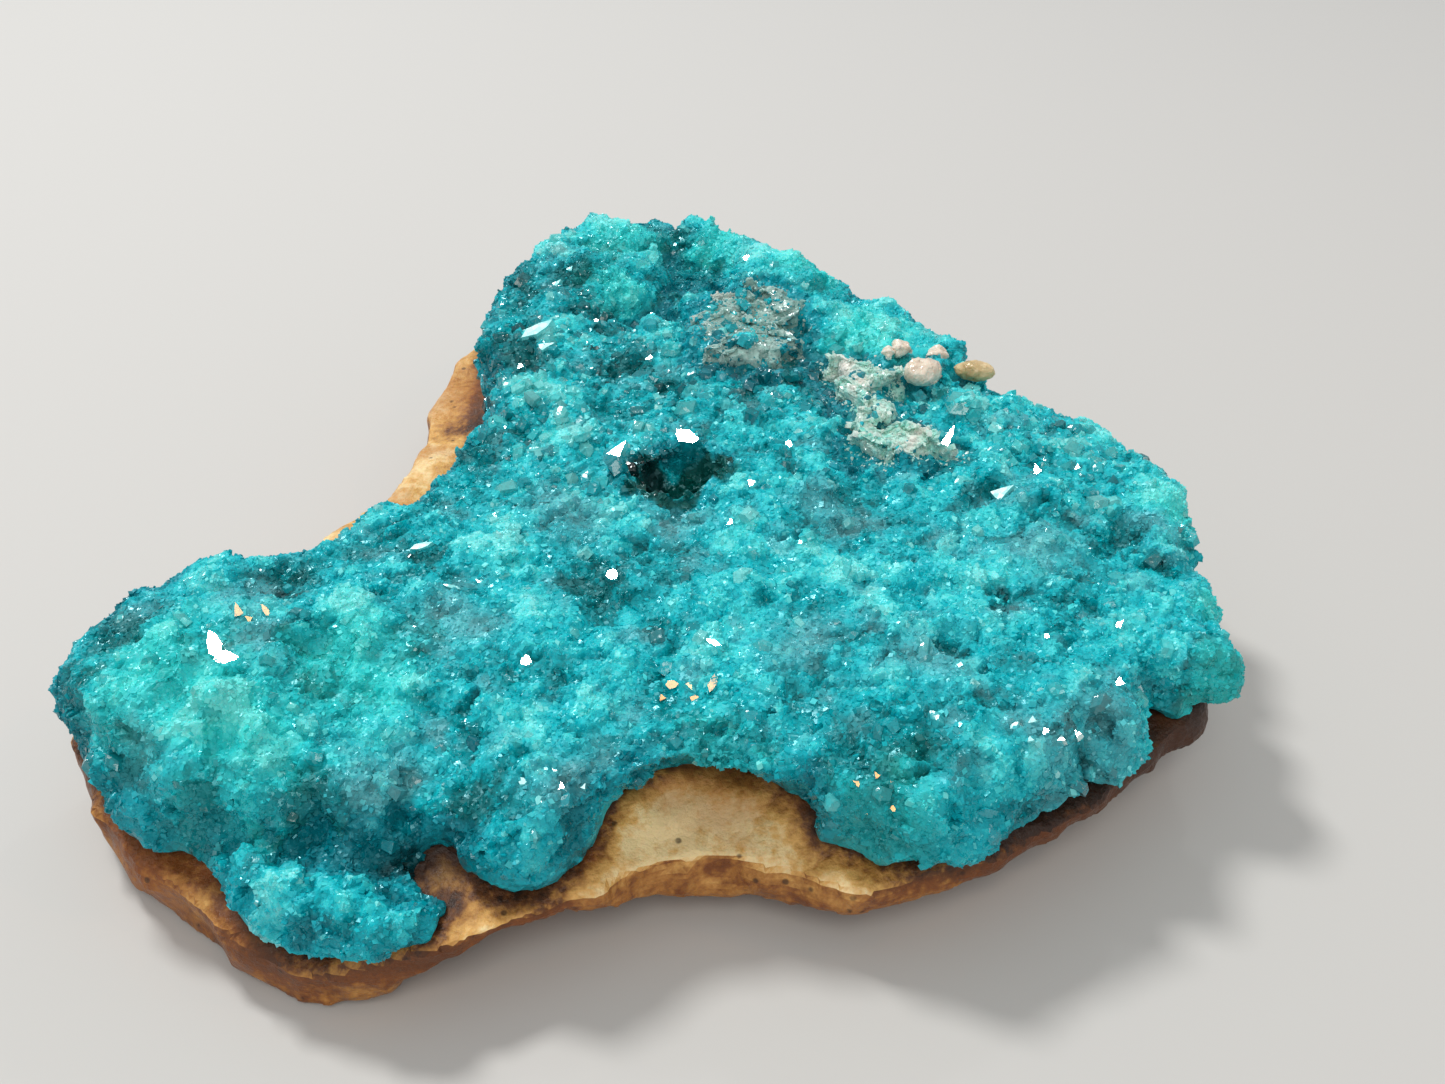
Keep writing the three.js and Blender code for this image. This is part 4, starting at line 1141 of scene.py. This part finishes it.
# %% The dioptase finishes
def dioptase(name, transmission, roughness, lightness, facet, depth, tint=0.20, shine=WHITE_SHINE,
             crystals=True):
    """The crust's mineral. `crystals` says whether the mesh is made of crystals that store their own marks;
    `tint` is how much they differ, and `facet` and `depth` belong to the bump."""
    material, t, shader = new_material(name)
    seat = attribute(t, "seat", "Vector")
    place = t.node("ShaderNodeTexCoord").outputs["Object"]
    bent = t.warped(seat, 1.1 * MM, 0.9 * MM)
    terms = [
        (t.remap(t.noise(seat, 3.4 * MM, 2.0), 0.3, 0.7, -0.5, 0.5, soft=False), 0.14),
        (t.centred(cell_value(t, bent, 1.5 * MM)), 0.32),
        (t.centred(cell_value(t, bent, 0.6 * MM)), 0.28),
        # painted shade and light: the crust is darker where its relief sinks and lighter where it rises
        (t.remap(attribute(t, "rise"), -0.38, 0.18, -0.5, 0.5), 0.40),
        # painted shade: the dark teal patches are partly the mineral's deeper tone and partly shade in
        # channels, creases and under rims, and the side mask darkens the steep sides
        (attribute(t, "pale"), 0.37), (attribute(t, "deep_tone_and_shade"), -0.52), (attribute(t, "side"), -0.24),
    ]
    if crystals:
        own = attribute(t, "tint")
        # painted light and shade: each crystal is lighter at its tip and darker at its foot, and a few
        # grains are painted pale as small highlights; a few others are a little darker
        terms += [(t.centred(own), tint), (t.centred(attribute(t, "tip")), 0.10),
                  (t.remap(own, 0.90, 0.93), 0.26), (t.remap(own, 0.04, 0.07), 0.16)]
    else:
        terms += [(t.centred(cell_value(t, place, 0.2 * MM)), 0.14)]
    terms += [(t.centred(t.noise(place, 0.2 * MM, 3.0, 0.7)), 0.34)]
    value = t.math("MAXIMUM", weighted(t, lightness, terms), 0.0)
    colour = ramp(t, value, [(0.0, DEEP_TEAL), (0.3, MID_TEAL), (0.56, TURQUOISE), (0.82, PALE_TURQUOISE),
                             (1.0, FROST)])
    # partly cloudy crystal and partly painted sheen: patches and clouds of the crust are turned grey
    cloud = t.remap(t.noise(bent, 1.5 * MM, 3.0), 0.52, 0.72, 0.0, 0.6)
    cloud_and_sheen = t.math("MAXIMUM", cloud, t.times(attribute(t, "cloud_and_sheen"), 0.75))
    cloud_and_sheen = t.times(cloud_and_sheen, t.rest(t.math("MAXIMUM", attribute(t, "side"), attribute(t, "deep_tone_and_shade"))))
    colour = mix(t, cloud_and_sheen, colour, mix(t, 0.55, colour, GREY_CLOUD_AND_SHEEN))
    colour = mix(t, t.times(attribute(t, "green"), 0.6), colour, mix(t, 0.6, colour, LEAF_TEAL))
    # painted shade: the steep sides turn a darker blue
    colour = mix(t, t.times(attribute(t, "side"), 0.35), colour, SIDE_SHADE_BLUE)
    # painted shade: the inside of the open pocket is dark green
    colour = mix(t, attribute(t, "vug"), colour, VUG_SHADE_GREEN)
    # painted shade: the gaps are darkened to a very dark teal
    colour = mix(t, t.times(attribute(t, "shade"), 0.92), colour, GAP_SHADE_BLACK)
    t.fill(shader, {
        "Base Color": colour, "Normal": bump(t, faceted(t, place, facet), depth), "IOR": 1.66,
        "Roughness": t.remap(t.noise(seat, 0.8 * MM, 2.0), 0.35, 0.65, roughness * 0.5, roughness * 1.7),
        "Transmission Weight": transmission, "Subsurface Weight": 0.0 if crystals else 0.4,
        "Subsurface Radius": (0.15, 0.8, 1.0), "Subsurface Scale": 0.6 * MM, "Specular Tint": shine,
    })
    return material


sugar_finish = dioptase("dioptase sugar", transmission=0.08, roughness=0.31, lightness=0.36,
                        facet=0.3 * MM, depth=0.3, shine=TEAL_SHINE)
crystal_finish = dioptase("dioptase crystal", transmission=0.25, roughness=0.15, lightness=0.42,
                          facet=0.14 * MM, depth=0.6, tint=0.4)
gem_finish = dioptase("clear dioptase", transmission=0.55, roughness=0.07, lightness=0.44,
                      facet=0.2 * MM, depth=0.35, tint=0.6)
flash_finish = dioptase("flashing dioptase", transmission=0.50, roughness=0.04, lightness=0.56,
                        facet=0.25 * MM, depth=0.10)
golden_finish = dioptase("golden dioptase", transmission=0.30, roughness=0.03, lightness=0.05,
                         facet=0.9 * MM, depth=0.03)
# partly painted highlight: the flakes are coloured pale
flake_finish = dioptase("pale flakes", transmission=0.10, roughness=0.28, lightness=1.0,
                        facet=0.25 * MM, depth=0.3)
body_finish = dioptase("dioptase mass", transmission=0.0, roughness=0.34, lightness=0.49,
                       facet=0.17 * MM, depth=0.7, shine=TEAL_SHINE, crystals=False)

# %% The crystal pieces
SUGAR_PIECES = 4


def dress(piece, material):
    """Gives a piece its finish, and drops any that it had."""
    piece.data.materials.clear()
    piece.data.materials.append(material)


made_pieces = [
    crystal_piece("clear_crystals", *gems, gem_finish),
    crystal_piece("flashing_crystals", white_points, np.full(len(white_points), 0.2), flash_finish),
    crystal_piece("pale_flakes", flake_points, np.full(len(flake_points), 0.2), flake_finish),
    crystal_piece("golden_crystals", golden_points, np.full(len(golden_points), 0.0), golden_finish),
    crystal_piece("small_crystals", *small, crystal_finish),
]
grains, grain_rise = sugar
turn_order = np.argsort(np.arctan2(grains[:, 0, 1] + 2 * MM, grains[:, 0, 0]), kind="stable")
for k, share in enumerate(np.array_split(turn_order, SUGAR_PIECES)):
    piece = crystal_piece(f"sugar_grains_{k + 1}", grains[share], grain_rise[share], sugar_finish)
    made_pieces.append(piece)
print("pieces of crystals:", [(p.name, len(p.data.polygons)) for p in made_pieces])
write_attribute(body.data, "seat", coords(body.data))
write_patches(body.data, coords(body.data))
dress(body, body_finish)

# %% Quartz finishes
CREAM_WHITE = (0.92, 0.92, 0.82, 1)


def quartz_finish(name, tones, transmission, roughness):
    """A cloudy, grainy see-through finish in three tones."""
    pale, middle, dark = tones
    material, t, shader = new_material(name)
    place = t.node("ShaderNodeTexCoord").outputs["Object"]
    cloud = t.remap(t.noise(place, 0.9 * MM, 4.0, 0.65), 0.3, 0.7, -0.5, 0.5, soft=False)
    value = weighted(t, 0.5, [(cloud, 0.6), (t.centred(attribute(t, "tint")), 0.5),
                              (t.centred(cell_value(t, place, 0.25 * MM)), 0.28)])
    colour = ramp(t, value, [(0.05, dark), (0.4, middle), (0.8, pale)])
    cream = t.times(attribute(t, "cream"), t.remap(value, 0.2, 0.6, 0.5, 1.0))
    t.fill(shader, {
        "Base Color": mix(t, cream, colour, CREAM_WHITE), "Transmission Weight": transmission,
        "Normal": bump(t, faceted(t, place, 0.22 * MM), 0.35), "IOR": 1.545,
        "Roughness": t.remap(cloud, -0.3, 0.3, roughness * 0.5, roughness * 1.5),
        "Subsurface Weight": 0.5, "Subsurface Radius": (0.6, 0.8, 0.8), "Subsurface Scale": 0.3 * MM,
    })
    return material


def finish_quartz(piece, grains, material):
    """Joins strewn grains to a quartz mass and gives both their finish."""
    write_attribute(piece.data, "tint", np.full(len(piece.data.vertices), 0.5))
    write_patches(piece.data, coords(piece.data))
    if grains is not None:
        add_mesh(piece, crystal_mesh(piece.name + "_grains", *grains))
    dress(piece, material)
    print(piece.name, "faces:", len(piece.data.polygons))


# The three tones of each mineral, from pale to dark.
GREYS = [(0.46, 0.68, 0.62, 1), (0.26, 0.46, 0.42, 1), (0.12, 0.33, 0.31, 1)]
GREENS = [(0.80, 0.98, 0.86, 1), (0.50, 0.92, 0.78, 1), (0.20, 0.70, 0.62, 1)]
CREAMS = [(0.94, 0.86, 0.76, 1), (0.88, 0.74, 0.60, 1), (0.55, 0.42, 0.32, 1)]
TANS = [(0.74, 0.58, 0.34, 1), (0.58, 0.42, 0.20, 1), (0.28, 0.18, 0.08, 1)]
finish_quartz(grey_quartz, grey_grains,
              quartz_finish("grey quartz", GREYS, transmission=0.05, roughness=0.2))
finish_quartz(pale_quartz, pale_grains,
              quartz_finish("pale green quartz", GREENS, transmission=0.05, roughness=0.2))
finish_quartz(cream_mineral, cream_grains,
              quartz_finish("cream mineral", CREAMS, transmission=0.05, roughness=0.25))
finish_quartz(tan_mineral, None,
              quartz_finish("tan mineral", TANS, transmission=0.0, roughness=0.4))

# %% [markdown]
# ## The rock
# Under the crust lies a plate of tan chert-like rock. It breaks in shallow bowls with sharp ridges between
# them, and it's a little waxy. Its top is a bright cream ledge and the breaks are brown, partly their own
# colour and partly painted light and shade, and rust has seeped in from the edges. Shade is also painted in
# the bowls, low down, close under the crust and at the rock's right end. The copy of its solid is rebuilt in
# small quads, and a tree of nodes presses the bowls in.

# %% The rock's shape
rock = remesh(merged_copy("matrix", "rock"), 0.2 * MM)


def fracture_tree():
    """Shallow bowls of two sizes with ridges between, and fine grain; nothing moves at the foot."""
    t, given, out = geometry_tree("fracture", {"Bowl Depth": 0.0005, "Grain Depth": 0.00005})
    place = t.node("GeometryNodeInputPosition").outputs[0]
    facing = t.node("GeometryNodeInputNormal").outputs[0]
    up = t.remap(t.axis(facing, 2), 0.3, 0.8, 1.0, 0.5)
    bent = t.warped(place, 2.5 * MM, 1.8 * MM)
    wide = t.cells(bent, 3.6 * MM).outputs["Distance"]
    close = t.cells(bent, 1.3 * MM).outputs["Distance"]
    bowls = t.minus(t.times(wide, wide), 0.22)
    dents = t.minus(t.times(close, close), 0.22)
    move = t.times(t.times(t.plus(bowls, t.times(dents, 0.3)), given["Bowl Depth"]), up)
    grain = t.times(t.centred(t.noise(place, 0.35 * MM, 3.0, 0.6)), given["Grain Depth"])
    free = t.remap(t.axis(place, 2), 0.05 * MM, 0.6 * MM)
    return move_surface(t, given, out, bowls, t.scaled(facing, t.times(t.plus(move, grain), free)))


def soften(piece, rounds):
    """Rounds off the sharpest folds of a mesh."""
    with opened(piece.data) as shell:
        for _ in range(rounds):
            bmesh.ops.smooth_vert(shell, verts=shell.verts, factor=0.5, use_axis_x=True, use_axis_y=True,
                                  use_axis_z=True)


foot_heights = coords(rock.data)[:, 2].copy()
replace_mesh(rock, run_tree(rock, fracture_tree(), {"Bowl Depth": 1.1 * MM, "Grain Depth": 0.12 * MM}))
moved = coords(rock.data)
moved[:, 2] = np.maximum(moved[:, 2], np.clip(foot_heights, 0, 0.3 * MM))
set_coords(rock.data, moved)
soften(rock, 2)
print("rock faces:", len(rock.data.polygons))

# %% The rock's finish
CREAM = (0.78, 0.44, 0.13, 1)
OCHRE = (0.46, 0.215, 0.050, 1)
BROWN = (0.15, 0.052, 0.015, 1)
DARK_BROWN = (0.035, 0.013, 0.006, 1)
RUST = (0.42, 0.12, 0.02, 1)
DUST = (0.97, 0.73, 0.38, 1)
# Tones of the rock: kind, then the place and the radius in plan mm. The darkest rows are painted shade in a
# gap under the crust and at the rock's right end, and the brown rows at the right end are partly painted
# shade.
ROCK_TONES = [
    ("light", -1.0, -21.0, 4.0), ("light", 4.2, -23.0, 2.6), ("light", -6.4, -24.2, 2.6),
    ("light", -9.4, -23.9, 2.4), ("brown", -10.6, 1.8, 1.2), ("rusty", -12.0, 4.5, 2.5),
    ("brown", 11.5, -20.5, 4.0), ("brown", 16.5, -16.0, 6.0), ("dark_shade", -8.7, -20.9, 1.2),
    ("dark_shade", 15.5, -16.0, 4.5), ("dark_shade", 17.5, -13.0, 5.0), ("rusty", -12.2, -27.6, 2.2),
    ("rusty", 1.5, -24.6, 3.0), ("rusty", -19.0, -21.0, 3.5), ("rusty", -16.0, -24.5, 2.8),
]
CONTACT_SHADE_REACH = 0.9 * MM  # how far the painted shade reaches out from under the crust


def write_rock_tones(mesh, crust):
    """Stores the rock's tones, and painted shade close under the crust."""
    place = coords(mesh)
    for kind in ("light", "brown", "rusty", "dark_shade"):
        write_attribute(mesh, kind, strongest(ROCK_TONES, kind, place[:, 0], place[:, 1]))
    tree = search_tree(crust)
    # painted shade: the rock darkens close under the crust, where the crust's shadow falls
    contact_shade = [math.exp(-(tree.find_nearest(Vector(p))[3] / CONTACT_SHADE_REACH) ** 2) for p in place]
    write_attribute(mesh, "contact_shade", contact_shade)


def rock_material():
    """Cream and ochre on the ledges, brown on the breaks, rust in patches and small dark specks, with
    painted light on the tops and painted shade on the steep faces, in the bowls, low down and under the
    crust.
    """
    material, t, shader = new_material("tan host rock")
    place = t.node("ShaderNodeTexCoord").outputs["Object"]
    facing = t.axis(t.node("ShaderNodeNewGeometry").outputs["Normal"], 2)
    up = t.remap(facing, 0.05, 0.8, -0.5, 0.5)
    blotch = t.centred(t.noise(place, 2.4 * MM, 4.0, 0.6))
    grain = t.centred(t.noise(place, 0.3 * MM, 3.0, 0.65))
    # painted shade: the rock is darker towards the bottom
    low = t.remap(t.axis(place, 2), 0.5 * MM, 3.8 * MM, -0.5, 0.5)
    light = t.times(attribute(t, "light"), t.plus(up, 0.5))
    mottle = t.centred(t.noise(place, 0.9 * MM, 3.0, 0.6))
    # painted light and shade: faces looking up are lighter and steep faces darker, in part the rock's own
    # cream and brown; the light ledge patches brighten where they face up, and the bowls are darker than the
    # ridges
    value = weighted(t, 0.49, [
        (up, 0.36), (blotch, 0.75), (mottle, 0.55), (grain, 0.7), (low, 0.15), (attribute(t, "rise"), 0.25),
        (light, 0.28), (attribute(t, "brown"), -0.34), (attribute(t, "contact_shade"), -0.72),
    ])
    colour = ramp(t, value, [(0.0, DARK_BROWN), (0.2, BROWN), (0.42, OCHRE), (0.68, CREAM), (0.95, DUST)])
    rusty = t.remap(t.noise(place, 3.8 * MM, 3.0), 0.5, 0.66, 0.0, 0.75)
    rusty = t.math("MAXIMUM", rusty, t.times(attribute(t, "rusty"), 0.9))
    rusty = t.math("MAXIMUM", rusty, t.remap(facing, 0.1, 0.6, 0.6, 0.0))
    colour = mix(t, rusty, colour, mix(t, 0.55, colour, RUST))
    # painted shade: very dark brown in a gap under the crust and at the shaded right end
    colour = mix(t, t.times(attribute(t, "dark_shade"), 0.75), colour, DARK_BROWN)
    specks = t.remap(t.cells(place, 0.7 * MM).outputs["Distance"], 0.10, 0.2, 0.75, 0.0)
    speckled = t.times(specks, t.remap(t.noise(place, 1.3 * MM), 0.5, 0.6))
    pits = t.times(t.noise(place, 0.16 * MM, 4.0, 0.65), 0.09 * MM)
    height = t.plus(t.times(t.facets(place, 0.5 * MM)[0], 0.35), pits)
    t.fill(shader, {
        "Base Color": mix(t, speckled, colour, DARK_BROWN), "Normal": bump(t, height, 1.0, strength=0.8),
        "Roughness": t.remap(grain, -0.15, 0.15, 0.30, 0.55), "IOR": 1.53, "Specular IOR Level": 0.35,
        "Subsurface Weight": 0.15, "Subsurface Radius": (1.0, 0.55, 0.25), "Subsurface Scale": 0.5 * MM,
    })
    return material


write_rock_tones(rock.data, body.data)
dress(rock, rock_material())

# %% [markdown]
# ## Floor, light and camera
# The stage is plain: a pale floor, four round lamps and a soft pale-blue surround. The key lamp stands high
# at the back left. It's small enough to flash in the facets and large enough to keep the shadows soft. A
# small warm lamp stands at the right and a small cool one behind, and a broad one fills in from the front.

# %% The stage
FLOOR_HALF = 1.5  # m
SENSOR = 36.0  # mm
PICTURE_WIDTH = 1445.0  # pixels
FOCAL_LENGTH = 1500.0  # pixels


def floor():
    """A plain pale floor."""
    mesh = bpy.data.meshes.new("floor")
    corners = [(-1, -1), (1, -1), (1, 1), (-1, 1)]
    mesh.from_pydata([(x * FLOOR_HALF, y * FLOOR_HALF, 0) for x, y in corners], [], [(0, 1, 2, 3)])
    material, t, shader = new_material("pale floor")
    t.fill(shader, {"Base Color": (0.60, 0.59, 0.57, 1), "Roughness": 0.75})
    mesh.materials.append(material)
    return link(bpy.data.objects.new("floor", mesh))


def disk_lamp(name, place, size, power, colour):
    """A round lamp aimed at the middle of the stone."""
    data = bpy.data.lights.new(name, "AREA")
    data.shape = "DISK"
    data.size = size
    data.energy = power
    data.color = colour
    lamp = link(bpy.data.objects.new(name, data))
    lamp.location = place
    lamp.rotation_euler = (-Vector(place)).to_track_quat("-Z", "Y").to_euler()

# %% Lamps, surround and camera
floor()
disk_lamp("key lamp", KEY_LAMP, size=0.055, power=0.47, colour=(1.0, 0.99, 0.97))
disk_lamp("warm lamp", WARM_LAMP, size=0.018, power=0.015, colour=(1.0, 0.42, 0.10))
disk_lamp("small lamp", (0.08, 0.17, 0.18), size=0.016, power=0.025, colour=(0.95, 0.98, 1.0))
disk_lamp("front fill", (0.02, -0.22, 0.28), size=0.20, power=0.37, colour=(1.0, 0.95, 0.87))
world = bpy.data.worlds.new("studio")
world.use_nodes = True
surround = world.node_tree.nodes["Background"].inputs
surround["Color"].default_value = (0.90, 0.95, 1.0, 1)
surround["Strength"].default_value = 0.45
bpy.context.scene.world = world

camera_data = bpy.data.cameras.new("camera")
camera_data.sensor_width = SENSOR
camera_data.lens = FOCAL_LENGTH / PICTURE_WIDTH * SENSOR
camera_data.clip_start = 0.001
camera = link(bpy.data.objects.new("camera", camera_data))
camera.location = VIEWER
camera.rotation_euler = (math.radians(90.0 - VIEW_PITCH), 0, 0)
bpy.context.scene.camera = camera
bpy.context.scene.view_settings.view_transform = "Standard"

# %% [markdown]
# ## The finished pieces
# Each finished piece rides on the stone's one body, and six of them stand for a solid piece, which is
# hidden. The helpers are taken away.

# %% Riding and hiding
for piece in made_pieces:
    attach(piece, "root")
for piece, node, slot in [
    (body, "dioptase_crust", "dioptase"), (rock, "matrix", "matrix_rock"),
    (grey_quartz, "grey_quartz_patch", "grey_quartz"), (pale_quartz, "pale_vein", "pale_quartz"),
    (cream_mineral, "cream_grain", "cream_mineral"), (tan_mineral, "tan_grain", "tan_mineral"),
]:
    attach(piece, "root")
    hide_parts(node)
for helper in (prism, rhomb, host):
    bpy.data.objects.remove(helper)
